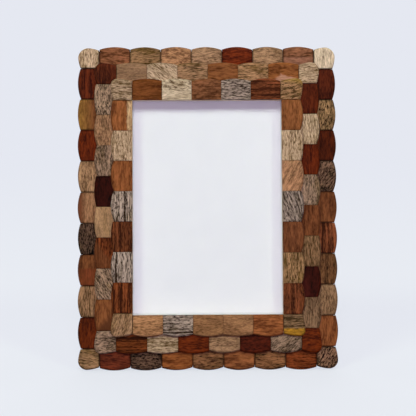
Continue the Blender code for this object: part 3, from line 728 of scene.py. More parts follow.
def stand(points):
    """Upright points leaned back, and moved so that the hinge pin lies on the CAD model's hinge axis."""
    return turn_about_x(points - hinge_axis(), -LEAN) + np.array(HINGE["pos_m"])


def on_side(side, along, inward):
    """X and Z at a distance along a side from its middle, and inward from its crest line."""
    tiles = settings("mosaic_tiles")
    if side == "top":
        return along, tiles.height - inward
    if side == "bottom":
        return along, inward
    if side == "left":
        return inward - tiles.width / 2, tiles.height / 2 - along
    return tiles.width / 2 - inward, tiles.height / 2 - along


def on_corner(corner, across, upright):
    """X and Z at distances inward from the two crest lines that meet in a corner."""
    tiles = settings("mosaic_tiles")
    x = tiles.width / 2 - across
    z = upright if corner.startswith("bottom") else tiles.height - upright
    return (-x if corner.endswith("left") else x), z


def half_side(side):
    """Half the length of a side's crest line."""
    tiles = settings("mosaic_tiles")
    return (tiles.width if side in LEVEL_SIDES else tiles.height) / 2


def run_of(side):
    """Way along a side, as X and Z."""
    return (1, 0) if side in LEVEL_SIDES else (0, 1)


def ring_step():
    """How far each ring of tiles stands in front of the ring outside it."""
    tiles = settings("mosaic_tiles")
    return tiles.thickness + tiles.glue


def opening():
    """From the outer crests to the opening."""
    tiles = settings("mosaic_tiles")
    return (len(RINGS) - 1) * tiles.pitch + tiles.depth


def skin(loops, endless=False):
    """Mesh over closed loops of points: quads between neighbouring loops, and end caps unless endless."""
    rows, columns = loops.shape[:2]
    index = np.arange(rows * columns).reshape(rows, columns)
    ahead = np.vstack([index, index[:1]]) if endless else index
    near, far = ahead[:-1], ahead[1:]
    quads = np.stack([near, np.roll(near, -1, 1), np.roll(far, -1, 1), far], -1).reshape(-1, 4).tolist()
    if not endless:
        quads += [index[0].tolist(), index[-1].tolist()]
    return loops.reshape(-1, 3), quads


def grid(points):
    """Point numbers of a grid of points, and the quads between neighbours."""
    rows, columns = points.shape[:2]
    index = np.arange(rows * columns).reshape(rows, columns)
    quads = np.stack([index[:-1, :-1], index[1:, :-1], index[1:, 1:], index[:-1, 1:]], -1)
    return index, quads.reshape(-1, 4).tolist()


def pillow(front, back):
    """Mesh of a grid of front points, walls from its rim straight back to a depth, and a flat back."""
    index, quads = grid(front)
    rim = np.concatenate([index[0, :-1], index[:-1, -1], index[-1, :0:-1], index[:0:-1, 0]])
    points = front.reshape(-1, 3)
    foot = points[rim].copy()
    foot[:, 1] = back
    under = len(points) + np.arange(len(rim))
    walls = np.stack([rim, np.roll(rim, -1), np.roll(under, -1), under], -1)
    return np.vstack([points, foot]), quads + walls.tolist() + [under.tolist()]


def joined(*meshes):
    """Several meshes as one, each still closed in itself."""
    points, faces, start = [], [], 0
    for some, corners in meshes:
        points.append(some)
        faces += [[start + i for i in face] for face in corners]
        start += len(some)
    return np.vstack(points), faces


def rectangle(x_low, x_high, z_low, z_high):
    """Corners of a rectangle, the two low ones first."""
    return [(x_low, z_low), (x_high, z_low), (x_high, z_high), (x_low, z_high)]


def rounded(corners, radius, steps=6):
    """Outline with arcs for corners: a quarter turn from a radius before a corner to a radius after it."""
    corners = np.asarray(corners, float)
    before = np.roll(corners, 1, 0) - corners
    after = np.roll(corners, -1, 0) - corners
    before /= np.linalg.norm(before, axis=1, keepdims=True)
    after /= np.linalg.norm(after, axis=1, keepdims=True)
    turn = np.linspace(0, np.pi / 2, steps)[None, :, None]
    reach = np.broadcast_to(radius, len(corners))[:, None, None]
    arc = (1 - np.sin(turn)) * before[:, None] + (1 - np.cos(turn)) * after[:, None]
    return (corners[:, None] + reach * arc).reshape(-1, 2)


def inset(outline, distance):
    """Outline moved inwards along the normal to the line between each point's two neighbours."""
    ahead = np.roll(outline, -1, 0)
    run = ahead - np.roll(outline, 1, 0)
    run /= np.linalg.norm(run, axis=1, keepdims=True)
    turning = np.sign(np.sum(outline[:, 0] * ahead[:, 1] - outline[:, 1] * ahead[:, 0]))
    return outline + turning * distance * np.stack([-run[:, 1], run[:, 0]], -1)


def slab(outline, levels):
    """Plate over an (x, z) outline: a loop for each (depth, inset) level, from one face to the other."""
    loops = [np.insert(inset(outline, distance), 1, depth, axis=1) for depth, distance in levels]
    return skin(np.stack(loops))


def eased(front, back, edge):
    """Levels of a plate between two depths whose edges are rounded in two steps."""
    ease = EASE * edge
    levels = [(front, edge), (front + ease, ease), (front + edge, 0)]
    return levels + [(back - edge, 0), (back - ease, ease), (back, edge)]


def plate(outline, front, back, edge):
    """Flat plate between two depths, with both edges eased."""
    return slab(outline, eased(front, back, edge))


def board_faces(mesh, points_round):
    """Number of each face's finish on an eased plate: 1 on the strip between its two rounds, else 0."""
    faces_of = np.zeros(len(mesh[1]), int)
    faces_of[2 * points_round : 3 * points_round] = 1
    return faces_of


def turned(profile, axis, sides=32, endless=False):
    """Solid of revolution: a circle for each (along, radius) point, about X or Y. An endless profile is
    closed in itself."""
    along, radius = (column[:, None] for column in np.asarray(profile, float).T)
    turn = np.linspace(0, 2 * np.pi, sides, endpoint=False)[None]
    first, second = radius * np.cos(turn), radius * np.sin(turn)
    level = along + 0 * turn
    return skin(np.stack([level, first, second] if axis == "x" else [first, level, second], -1), endless)


def tube(start, end, outer, inner, edge):
    """Tube about X: a closed (along, radius) profile with eased outer edges, carried round the axis."""
    profile = [(start, inner), (start, outer - edge), (start + edge, outer)]
    profile += [(end - edge, outer), (end, outer - edge), (end, inner)]
    return turned(profile, "x", endless=True)


def rounding(distance, radius):
    """Fall of a quarter-round edge at a distance from it: the whole radius there, nothing a radius in."""
    inside = np.clip(distance, 0, radius)
    return radius - np.sqrt(inside * (2 * radius - inside))


def bell(distance, width):
    """Bell curve: 1 at no distance, and about a third of that at the width."""
    return np.exp(-((distance / width) ** 2))


def gathered(count):
    """Numbers from 0 to 1, closer together towards both ends: even steps mixed with those of a cosine."""
    even = np.linspace(0, 1, count)
    return 0.55 * even + 0.45 * (1 - np.cos(np.pi * even)) / 2


def grain_at(points, centre, run, offset):
    """Millimetres along the grain, across it and in depth, from a piece's own place in the pattern."""
    away = (points - centre) / MM
    along = away[..., 0] * run[0] + away[..., 2] * run[1]
    across = away[..., 2] * run[0] - away[..., 0] * run[1]
    return np.stack([along, across, away[..., 1]], -1) + offset


def part_of(points, edges):
    """1 in a part of a tile and 0 elsewhere: the least of soft steps along the ways towards that part, with
    edges that waver a little."""
    inside = np.full(len(points), 1.0 if edges else 0.0)
    for way, size, soft in edges:
        cos, sin = math.cos(math.radians(way)), math.sin(math.radians(way))
        ahead = points[:, 0] * cos + points[:, 2] * sin
        aside = points[:, 2] * cos - points[:, 0] * sin
        place = (ahead - ahead.min()) / np.ptp(ahead)
        for height, wave, start in WAVER:
            place = place + height * np.sin(aside / (wave * MM) + start)
        inside = np.minimum(inside, np.clip((place - (1 - size)) / soft + 0.5, 0, 1))
    return inside


def add(name, mesh, finishes, body, slot, nodes=None, place=stand, sharp=35, faces_of=None, **attributes):
    """Puts a mesh into the scene as a piece that rides on a body and stands for CAD nodes, or for the one
    of its own name."""
    points, faces = mesh
    nodes = nodes or [name]
    data = bpy.data.meshes.new(name)
    data.from_pydata(place(points).tolist(), [], faces)
    for key, values in attributes.items():
        kind, field = ("FLOAT_VECTOR", "vector") if np.ndim(values) == 2 else ("FLOAT", "value")
        layer = data.attributes.new(key, kind, "POINT")
        layer.data.foreach_set(field, np.asarray(values, np.float32).ravel())
    for finish in finishes if isinstance(finishes, list) else [finishes]:
        data.materials.append(finish)
    if faces_of is not None:
        data.polygons.foreach_set("material_index", faces_of)
    shape = bmesh.new()
    shape.from_mesh(data)
    bmesh.ops.remove_doubles(shape, verts=shape.verts, dist=MERGE)
    bmesh.ops.recalc_face_normals(shape, faces=shape.faces)
    shape.to_mesh(data)
    shape.free()
    data.shade_smooth()
    data.set_sharp_from_angle(angle=math.radians(sharp))
    piece = bpy.data.objects.new(name, data)
    bpy.context.scene.collection.objects.link(piece)
    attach(piece, body)
    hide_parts(*nodes)


class Tile:
    """One wooden tile: its wood, plan and face, from which its mesh and its grain are worked out."""

    def __init__(self, ring, place, spec, number):
        self.sizes = settings("mosaic_tiles")
        self.ring = ring
        self.ring_name = RINGS[ring][0]
        self.name = f"{self.ring_name}_{place}"
        self.wood, marks, turn = re.fullmatch(r"([a-z]+)([+-]*)(?:@(-?\d+))?", spec).groups()
        self.light = 1 + self.sizes.shade_step * (marks.count("+") - marks.count("-"))
        self.turn = math.radians(float(turn or 0))
        self.rng = np.random.default_rng([self.sizes.seed, ring, number])
        self.crest = ring * self.sizes.pitch

    def vary(self, what, count=None):
        """The next random number, or some of them, from the range of a small difference between tiles."""
        return self.rng.uniform(*SPREAD[what], count)

    def shifts(self, side):
        """How far the first and the last joint on this tile's ring and side lie from their even places."""
        return np.array(SHIFTS.get(f"{self.ring_name}_{side}", (0, 0))) * MM

    def row_plan(self, side, count, position):
        """Plan of a tile in a row, over u along it and v inward: its outer edge is a parabola whose ends
        fall back. Returns X, Z and the distances from its outer, end and inner edges."""
        sizes = self.sizes
        half_row = half_side(side) - self.crest - sizes.depth - sizes.gap / 2
        first, last = self.shifts(side)
        start = first - half_row
        pitch = (half_row + last - start) / count
        u = 2 * gathered(ROW_GRID[0])[:, None] - 1
        v = gathered(ROW_GRID[1])[None]
        joint = sizes.tight_gap
        if self.ring == 0:
            joint = sizes.gap + (sizes.outer_gap - sizes.gap) * (1 - v) ** 2
        half = (pitch - joint) / 2 + 0 * u * v
        bow = sizes.bow * self.vary("outer_bow" if self.ring == 0 else "bow")
        skew = abs(self.vary("skew")) * MM
        edge = bow * u**2 + skew * (u + 1)
        inward = edge + (sizes.depth - edge) * v
        along = start + (position + 0.5) * pitch + half * u
        x, z = on_side(side, along, self.crest + inward)
        return x, z, inward - edge, half * (1 - np.abs(u)), sizes.depth - inward

    def corner_plan(self, corner):
        """Plan of a corner tile, over a square: the outer corner's square is drawn onto a quarter disc, and
        the outer edges fall back towards their inner ends. Returns X, Z and the distances from its outer,
        end and inner edges."""
        sizes = self.sizes
        level, flank = corner.split("_")
        reach = sizes.depth - sizes.gap / 2
        shift_x = self.shifts(level) * (1, -1)
        shift_z = self.shifts(flank) * (1, -1)
        wide = reach + shift_x[0 if flank == "left" else 1]
        high = reach + shift_z[0 if level == "top" else 1]
        radius = sizes.corner_radius * (1 - sizes.corner_shrink * self.ring)
        if level == "bottom":
            radius *= sizes.low_corner
        even = gathered(CORNER_GRID)[:, None] + np.zeros(CORNER_GRID)
        across, upright = wide * even, high * even.T
        # a and b fall from 1 at the outer edges to 0 a radius further in.
        a = np.clip(1 - across / radius, 0, 1)
        b = np.clip(1 - upright / radius, 0, 1)
        shrink_a = a * (1 - np.sqrt(1 - b**2 / 2))
        shrink_b = b * (1 - np.sqrt(1 - a**2 / 2))
        from_arc = radius * (1 - np.hypot(a - shrink_a, b - shrink_b))
        across = across + radius * shrink_a
        upright = upright + radius * shrink_b
        outer = np.where((a > 0) & (b > 0), from_arc, np.minimum(across, upright))
        inner = np.minimum(wide - across, high - upright)
        start = sizes.bow_start * radius
        fall_x = sizes.corner_bow * (np.clip(upright - start, 0, None) / (high - start)) ** 2
        fall_z = sizes.corner_bow * (np.clip(across - start, 0, None) / (wide - start)) ** 2
        sunk = sizes.corner_inset if self.ring == 0 else 0
        x_in = across + (sizes.side_inset * sunk + fall_x) * (1 - across / wide)
        z_in = upright + (sunk + fall_z) * (1 - upright / high)
        x, z = on_corner(corner, self.crest + x_in, self.crest + z_in)
        return x, z, outer, inner, inner

    def ridges(self, grain):
        """Furrows of worn grain, from -1 to 1: waves across the grain, each bent by a slow one along it."""
        along, across = grain[..., 0, None], grain[..., 1, None]
        width = self.vary("ridge_width", RIDGE_WAVES)
        reach = self.vary("sway", RIDGE_WAVES)
        slow = along / self.vary("sway_length", RIDGE_WAVES) + self.vary("phase", RIDGE_WAVES)
        sway = reach * np.sin(2 * np.pi * slow)
        return np.sin(2 * np.pi * (across / width + sway + self.vary("phase", RIDGE_WAVES))).mean(-1)

    def face(self, plan, centre, ridge):
        """Height of the face: the thickness, less the roundings of its edges, plus a crown and its grain's
        furrows, on a slight tilt."""
        sizes = self.sizes
        x, z, outer, ends, inner = plan
        clear = np.clip(np.minimum(np.minimum(outer, ends), inner) / sizes.calm_edge, 0, 1)
        swell = np.clip(1 - (2 * outer / sizes.pitch - 1) ** 2, 0, 1)
        height = sizes.thickness - rounding(outer, sizes.round_over * self.vary("round_over"))
        height = height - rounding(ends, sizes.soft_edge) - rounding(inner, sizes.soft_edge)
        height = height + sizes.crown * self.vary("crown") * swell * clear
        height = height + GRAIN[self.wood].relief * MM * ridge * clear * np.sqrt(swell)
        tilt_x, tilt_z = self.vary("tilt", 2)
        tilted = tilt_x * (x - centre[0]) + tilt_z * (z - centre[2])
        return np.clip(height + tilted * np.clip(2 * swell, 0, 1), sizes.least, None)

    def tone(self, outer, ends, walls):
        """Hue, saturation and value of each point. The value carries painted shade: darker along the eased outer
        edge, which is partly dirt too, darker along the ends at the joints, and darker all over the sides and
        back.
        """
        sizes = self.sizes
        joint = sizes.painted_outer_joint_shade if self.ring == 0 else sizes.painted_joint_shade
        # Painted shade along the rounded outer edge and along the joints at the ends.
        rim = 1 - sizes.painted_edge_shade * bell(outer, sizes.painted_shade_width) - joint * bell(ends, sizes.painted_shade_width)
        # Painted shade darkens the sides and back all over.
        value = np.pad(rim.ravel(), (0, walls), constant_values=sizes.painted_wall_shade)
        value = value * self.light * self.vary("value")
        hue = np.full_like(value, self.vary("hue"))
        saturation = np.full_like(value, self.vary("saturation"))
        return np.stack([hue, saturation, value], -1)

    def streaks(self, x, z, run):
        """Darkness of the tile's streaks: a bell curve across each, which wanders a little along the tile,
        and one along it."""
        across, along = (z, x) if abs(run[0]) > abs(run[1]) else (x, z)
        place = (along - along.min()) / np.ptp(along)
        dark = np.zeros_like(x)
        for number, row in enumerate(STREAKS.get(self.name, [])):
            streak = Streak(*row)
            wander = WANDER * MM * np.sin(WANDER_RUN * place + WANDER_STEP * number)
            away = across - across.min() - streak.across * np.ptp(across) + wander
            short = bell(place - streak.along, streak.long / 2)
            dark += streak.dark * short * bell(away, streak.width * MM / 2)
        return dark

    def build(self, plan, run, nodes):
        """Adds the tile: its face over its plan, with walls and a flat back, and what its wood reads."""
        sizes = self.sizes
        x, z, outer, ends, _ = plan
        centre = np.array([x.mean(), 0, z.mean()])
        cos, sin = math.cos(self.turn), math.sin(self.turn)
        run = (run[0] * cos - run[1] * sin, run[0] * sin + run[1] * cos)
        offset = self.vary("pattern_place", 3)
        ridge = self.ridges(grain_at(np.stack([x, 0 * x, z], -1), centre, run, offset))
        behind = -self.ring * ring_step()
        front = np.stack([x, behind - self.face(plan, centre, ridge), z], -1)
        points, faces = pillow(front, behind + sizes.bedding * sizes.glue)
        walls = len(points) - x.size
        # Furrows are darker than ridges, in step with their depth.
        furrow = FURROW_SHADE * GRAIN[self.wood].relief * np.clip(-ridge, -RIDGE_SHARE, 1)
        code, *edges = BANDS.get(self.name, ("#000000",))
        add(
            f"tile_{self.name}",
            (points, faces),
            wood(self.wood),
            "frame",
            f"{self.ring_name}_tile_wood",
            nodes,
            grain=grain_at(points, centre, run, offset),
            # Hue, saturation and value, with painted shade along the edges, joints, sides and back.
            tone=self.tone(outer, ends, walls),
            band=part_of(points, edges),
            stain=np.tile(linear(code)[:3], (len(points), 1)) / self.light,
            fleck=FLECK_SHADE * part_of(points, FLECKS.get(self.name, [])),
            ridge=np.pad((furrow + self.streaks(x, z, run)).ravel(), (0, walls)),
        )


class MOSAIC_OT_tiles(bpy.types.Operator):
    """Lay the three rings of wooden tiles, and their corner tiles"""

    bl_idname = "mosaic_frame.tiles"
    bl_label = "Tiles"

    def execute(self, context):
        number = 0
        for ring, (name, across, upright) in enumerate(RINGS):
            for side in SIDES:
                count = across if side in LEVEL_SIDES else upright
                woods = LAYOUT[name][side].split()
                if len(woods) != count:
                    raise RuntimeError(f"{name} {side} has {len(woods)} woods for {count} tiles")
                for position, spec in enumerate(woods):
                    tile = Tile(ring, f"{side}_{position + 1}", spec, number)
                    tile.build(tile.row_plan(side, count, position), run_of(side), [f"{name}_tiles_{side}"])
                    number += 1
            for corner in CORNERS:
                tile = Tile(ring, corner, LAYOUT[name][corner], number)
                tile.build(tile.corner_plan(corner), (1, 0), [f"{name}_corner_{corner}"])
                number += 1
        return {"FINISHED"}


class MOSAIC_OT_rails(bpy.types.Operator):
    """Make the four mitred rails behind the tiles, and the nails across their corners"""

    bl_idname = "mosaic_frame.rails"
    bl_label = "Rails"

    def execute(self, context):
        names = {"top": "top_rail", "bottom": "bottom_rail", "left": "left_stile", "right": "right_stile"}
        for number, side in enumerate(SIDES):
            # Each rail has a place of its own in the grain's pattern, in millimetres.
            self.add_rail(names[side], side, 300 * number + np.array([0, 100, 200]))
        for corner in CORNERS:
            self.add_nail(corner)
        return {"FINISHED"}

    def profile(self):
        """Section of a rail, as (inward, depth): outer face, steps behind the rings, opening and rebate."""
        tiles, back = settings("mosaic_tiles"), settings("mosaic_back")
        fronts = [tiles.glue - ring * ring_step() for ring in range(len(RINGS))]
        corners = [(back.rail_inset, back.back), (back.rail_inset, tiles.glue)]
        for ring in range(1, len(RINGS)):
            behind = (ring - 1) * tiles.pitch + tiles.depth + tiles.gap
            corners += [(behind, fronts[ring - 1]), (behind, fronts[ring])]
        corners += [(opening(), fronts[-1]), (opening(), tiles.glue)]
        corners += [(opening() - back.rebate, tiles.glue), (opening() - back.rebate, back.back)]
        radii = np.full(len(corners), back.rail_edge)
        radii[0] = back.rail_corner
        radii[-1] = back.rebate_edge
        return rounded(corners, radii, steps=4)

    def add_rail(self, name, side, offset):
        """The profile carried along a side and cut to the mitres, with bare wood in the opening."""
        back = settings("mosaic_back")
        inward, depth = self.profile().T
        reach = half_side(side) - inward - back.mitre / math.sqrt(2)
        along = np.linspace(-1, 1, RAIL_LOOPS)[:, None] * reach
        x, z = on_side(side, along, inward + 0 * along)
        points, faces = skin(np.stack([x, depth + 0 * along, z], -1))
        in_opening = np.minimum(inward, np.roll(inward, -1)) > inward.max() - back.bare_edge
        faces_of = np.append(np.tile(in_opening, len(along) - 1), [False, False]).astype(int)
        add(
            name,
            (points, faces),
            [wood("base"), wood("lip")],
            "frame",
            "base_wood",
            faces_of=faces_of,
            grain=grain_at(points, points.mean(0), run_of(side), offset),
            tone=np.tile(PLAIN_TONE, (len(points), 1)),
            stain=np.zeros_like(points),
            **{key: np.zeros(len(points)) for key in ("band", "fleck", "ridge")},
        )

    def add_nail(self, corner):
        """Angle of thin steel across a mitre, driven in from the back."""
        back = settings("mosaic_back")
        low = back.nail_place
        fold = low + back.nail_thickness
        end = low + back.nail_leg
        bend = [(low, low), (end, low), (end, fold), (fold, fold), (fold, end), (low, end)]
        outline = rounded([on_corner(corner, *place) for place in bend], back.nail_bend, steps=4)
        mesh = plate(outline, back.back - back.nail_depth, back.back + back.nail_proud, back.nail_edge)
        add(f"corner_nail_{corner}", mesh, metal("bright_nail_steel"), "frame", "nail_steel")


class MOSAIC_OT_contents(bpy.types.Operator):
    """Finish the glass, the print and the filler card, and make the backing board"""

    bl_idname = "mosaic_frame.contents"
    bl_label = "Glass, print and back"

    def execute(self, context):
        tiles, back = settings("mosaic_tiles"), settings("mosaic_back")
        finishes = {
            "glass_pane": material("clear_float_glass", float_glass),
            "photo_insert": fibre("matt_print_paper"),
            "filler_card": fibre("grey_board"),
        }
        for name, finish in finishes.items():
            data = frame["nodes"][name].data
            data.materials.clear()
            data.materials.append(finish)
        low = opening() - back.rebate + back.clearance
        half = tiles.width / 2 - low
        outline = rounded(rectangle(-half, half, low, tiles.height - low), back.board_corner)
        mesh = plate(outline, back.back - back.backing, back.back, back.board_edge)
        faces_of = board_faces(mesh, len(outline))
        add("backing_board", mesh, boards(), "frame", "back_board", faces_of=faces_of)
        return {"FINISHED"}


def slotted_head(sizes, turn):
    """Domed screw head along Y, over rows across its slot: each row is a chord of the circle, the dome
    falls with the square of the distance from the middle, and the rows in the slot lie on its floor."""
    radius, half = sizes.screw_head, sizes.slot_width / 2
    side = np.concatenate([-np.cos(np.linspace(0, np.pi / 2, 12)) * (radius - half) - half, [-half]])
    across = np.concatenate([side, -side[::-1]])
    sunk = np.zeros(len(across), bool)
    sunk[len(side) - 1 : len(side) + 1] = True
    along = np.concatenate([[-1], np.sin(np.linspace(-np.pi / 2, np.pi / 2, 25)), [1]])[:, None]
    chord = np.sqrt(np.clip(radius**2 - across**2, 0, None))
    x, z = along * chord, across + 0 * along
    dome = sizes.screw_rim + (sizes.screw_height - sizes.screw_rim) * (1 - (x**2 + z**2) / radius**2)
    y = np.where(sunk, np.minimum(dome, sizes.screw_height - sizes.slot_depth), dome)
    y[[0, -1]] = 0
    cos, sin = math.cos(turn), math.sin(turn)
    front = np.stack([x * cos - z * sin, y, x * sin + z * cos], -1)
    index, quads = grid(front)
    foot = np.concatenate([index[0, 1:-1], index[-1, ::-1]])
    return front.reshape(-1, 3), quads + [foot.tolist()]


def add_screw(name, place, turn):
    """A screw's head at a place on the back, with its slot left at some turn."""
    points, faces = slotted_head(settings("mosaic_hardware"), turn)
    add(name, (points + place, faces), metal("zinc_plated_steel"), "frame", "zinc_steel")


class MOSAIC_OT_turn_buttons(bpy.types.Operator):
    """Make the four brass turn buttons and their screws"""

    bl_idname = "mosaic_frame.turn_buttons"
    bl_label = "Turn buttons"

    def execute(self, context):
        back, sizes = settings("mosaic_back"), settings("mosaic_hardware")
        inward = opening() - back.rebate - sizes.button_place
        under = back.back + back.fit
        head = under + sizes.button_thickness + back.fit
        points, faces = self.button(back.plate_edge)
        # No two screws are left at the same turn.
        for side, first_turn in (("left", 1.5), ("right", 0.6)):
            for level, up in (("upper", 1), ("lower", -1)):
                x, z = on_side(side, -up * sizes.button_spread / 2, inward)
                mesh = (points + (x, under, z), faces)
                brass = metal("satin_brass_plate")
                add(f"turn_button_{level}_{side}", mesh, brass, f"button_{level}_{side}", "hinge_brass")
                add_screw(f"button_screw_{level}_{side}", (x, head, z), first_turn + 1.7 * up)
        return {"FINISHED"}

    def button(self, edge):
        """Plate with round ends, eased edges and a shallow dish in its face."""
        sizes = settings("mosaic_hardware")
        half_length, half_width = sizes.button_length / 2, sizes.button_width / 2
        # The rounds are just short of half the width, so that no two of their points fall together.
        corners = rectangle(-half_length, half_length, -half_width, half_width)
        outline = rounded(corners, 0.999 * half_width, steps=13)
        top, rim = sizes.button_thickness, sizes.button_rim
        levels = [(0, edge), (edge, 0)]
        levels += [(top - 2 * edge, 0), (top - edge / 2, edge / 2), (top, 2 * edge)]
        levels += [(top, rim), (top - sizes.button_dish, rim + sizes.dish_slope)]
        return slab(outline, levels)


class MOSAIC_OT_easel(bpy.types.Operator):
    """Make the easel leg, its hinge, pin and rivets"""

    bl_idname = "mosaic_frame.easel"
    bl_label = "Easel leg"

    def execute(self, context):
        self.axis = hinge_axis()
        self.open = LEAN + settings("mosaic_hardware").splay
        self.add_leg()
        self.add_leaves()
        self.add_pin()
        self.add_rivets()
        return {"FINISHED"}

    def fixed(self, points):
        """Points about the hinge axis, put on the frame."""
        return stand(points + self.axis)

    def opened(self, points):
        """Points about the hinge axis, turned as the leg is opened and put on the frame."""
        return self.fixed(turn_about_x(points, self.open))

    def on_leaf(self):
        """Depth, behind the hinge axis, of what lies on a leaf."""
        back, sizes = settings("mosaic_back"), settings("mosaic_hardware")
        return sizes.leaf_thickness + back.fit - sizes.barrel

    def foot(self, depth):
        """Height along the leg, from the axis, at which a face at this depth meets the floor."""
        sizes = settings("mosaic_hardware")
        above = stand(self.axis)[2]
        return -(above + depth * math.sin(sizes.splay)) / math.cos(sizes.splay)

    def add_leg(self):
        """Tapered board with eased edges, cut to stand on the floor: a loop for each depth and inset."""
        back, sizes = settings("mosaic_back"), settings("mosaic_hardware")
        front = self.on_leaf()
        half_top, half_foot = sizes.leg_top / 2, sizes.leg_foot / 2
        top = -sizes.barrel - sizes.leg_clearance
        radii = np.repeat([sizes.leg_foot_corner, sizes.leg_top_corner], 2)
        loops = []
        for depth, distance in eased(front, front + sizes.leg_thickness, back.board_edge):
            foot = self.foot(depth)
            corners = [(-half_foot, foot), (half_foot, foot), (half_top, top), (-half_top, top)]
            outline = inset(rounded(corners, radii), distance)
            outline[:, 1] = np.maximum(outline[:, 1], foot)
            loops.append(np.insert(outline, 1, depth, axis=1))
        mesh = skin(np.stack(loops))
        faces_of = board_faces(mesh, len(loops[0]))
        add("easel_leg", mesh, boards(), "leg", "back_board", place=self.opened, faces_of=faces_of)

    def add_leaves(self):
        """The fixed leaf with the outer knuckles, and the leg's with the middle knuckle and the stop."""
        back, sizes = settings("mosaic_back"), settings("mosaic_hardware")
        half, middle = sizes.leaf_width / 2, sizes.knuckle / 2
        beside = middle + sizes.knuckle_gap
        round_pin = (sizes.barrel, sizes.pin + back.fit, back.plate_edge)
        brass = metal("satin_brass_plate")
        mesh = joined(self.leaf(1, False), tube(-half, -beside, *round_pin), tube(beside, half, *round_pin))
        add("hinge_leaf_fixed", mesh, brass, "frame", "hinge_brass", place=self.fixed)
        mesh = joined(self.leaf(-1, True), tube(-middle, middle, *round_pin), self.stop())
        add("hinge_leaf_leg", mesh, brass, "leg", "hinge_brass", place=self.opened)

    def leaf(self, way, middle_knuckle):
        """Leaf plate that runs up or down from the axis, notched for the other leaf's knuckles."""
        back, sizes = settings("mosaic_back"), settings("mosaic_hardware")
        half = sizes.leaf_width / 2
        clear = sizes.barrel + sizes.notch
        inner = sizes.knuckle / 2 + (0 if middle_knuckle else sizes.knuckle_gap)
        middle, outside = (0, clear) if middle_knuckle else (clear, 0)
        corners = [(-half, sizes.leaf_length), (-half, outside), (-inner, outside), (-inner, middle)]
        corners += [(-x, z) for x, z in reversed(corners)]
        radii = np.full(len(corners), sizes.notch_corner)
        radii[[0, -1]] = sizes.leaf_corner
        outline = rounded(np.array(corners) * (1, way), radii)
        return plate(outline, -sizes.barrel, sizes.leaf_thickness - sizes.barrel, back.plate_edge)

    def stop(self):
        """Toe on the middle knuckle that meets the fixed leaf when the leg is open."""
        sizes = settings("mosaic_hardware")
        front = self.on_leaf()
        corners = rectangle(front, front + sizes.stop_thickness, sizes.barrel / 2, sizes.stop_length)
        section = rounded(corners, sizes.stop_corner, steps=4)
        half = sizes.knuckle / 2
        points, faces = skin(np.stack([np.insert(section, 0, x, axis=1) for x in (-half, half)]))
        return turn_about_x(points, -self.open), faces

    def add_pin(self):
        """Pin with a domed head at each end, turned about X."""
        back, sizes = settings("mosaic_back"), settings("mosaic_hardware")
        half = sizes.leaf_width / 2 + back.fit
        head = np.array(PIN_DOME) * (sizes.pin_head_length, sizes.pin_head) + (half, 0)
        end = np.vstack([head, (half, sizes.pin)])
        mesh = turned(np.vstack([end * (-1, 1), end[::-1]]), "x", sides=24)
        add("hinge_pin", mesh, metal("zinc_plated_steel"), "frame", "zinc_steel", place=self.fixed)

    def add_rivets(self):
        """Domed rivet heads on the fixed leaf and on the leg: a quarter ellipse turned about Y."""
        back, sizes = settings("mosaic_back"), settings("mosaic_hardware")
        turn = np.linspace(0, np.pi / 2, 9)[:-1]
        height = sizes.rivet_rim + (sizes.rivet_height - sizes.rivet_rim) * np.sin(turn)
        dome = np.stack([height, sizes.rivet_head * np.cos(turn)], -1)
        points, faces = turned(np.vstack([[(0, sizes.rivet_head)], dome]), "y", sides=28)
        zinc = metal("zinc_plated_steel")
        behind = self.on_leaf() + sizes.leg_thickness + back.fit
        for side, x in (("left", -sizes.rivet_spacing / 2), ("right", sizes.rivet_spacing / 2)):
            mesh = (points + (x, self.on_leaf(), sizes.rivet_reach), faces)
            add(f"leaf_rivet_{side}", mesh, zinc, "frame", "zinc_steel", place=self.fixed)
            mesh = (points + (x, behind, -sizes.rivet_reach), faces)
            add(f"leg_rivet_{side}", mesh, zinc, "leg", "zinc_steel", place=self.opened)


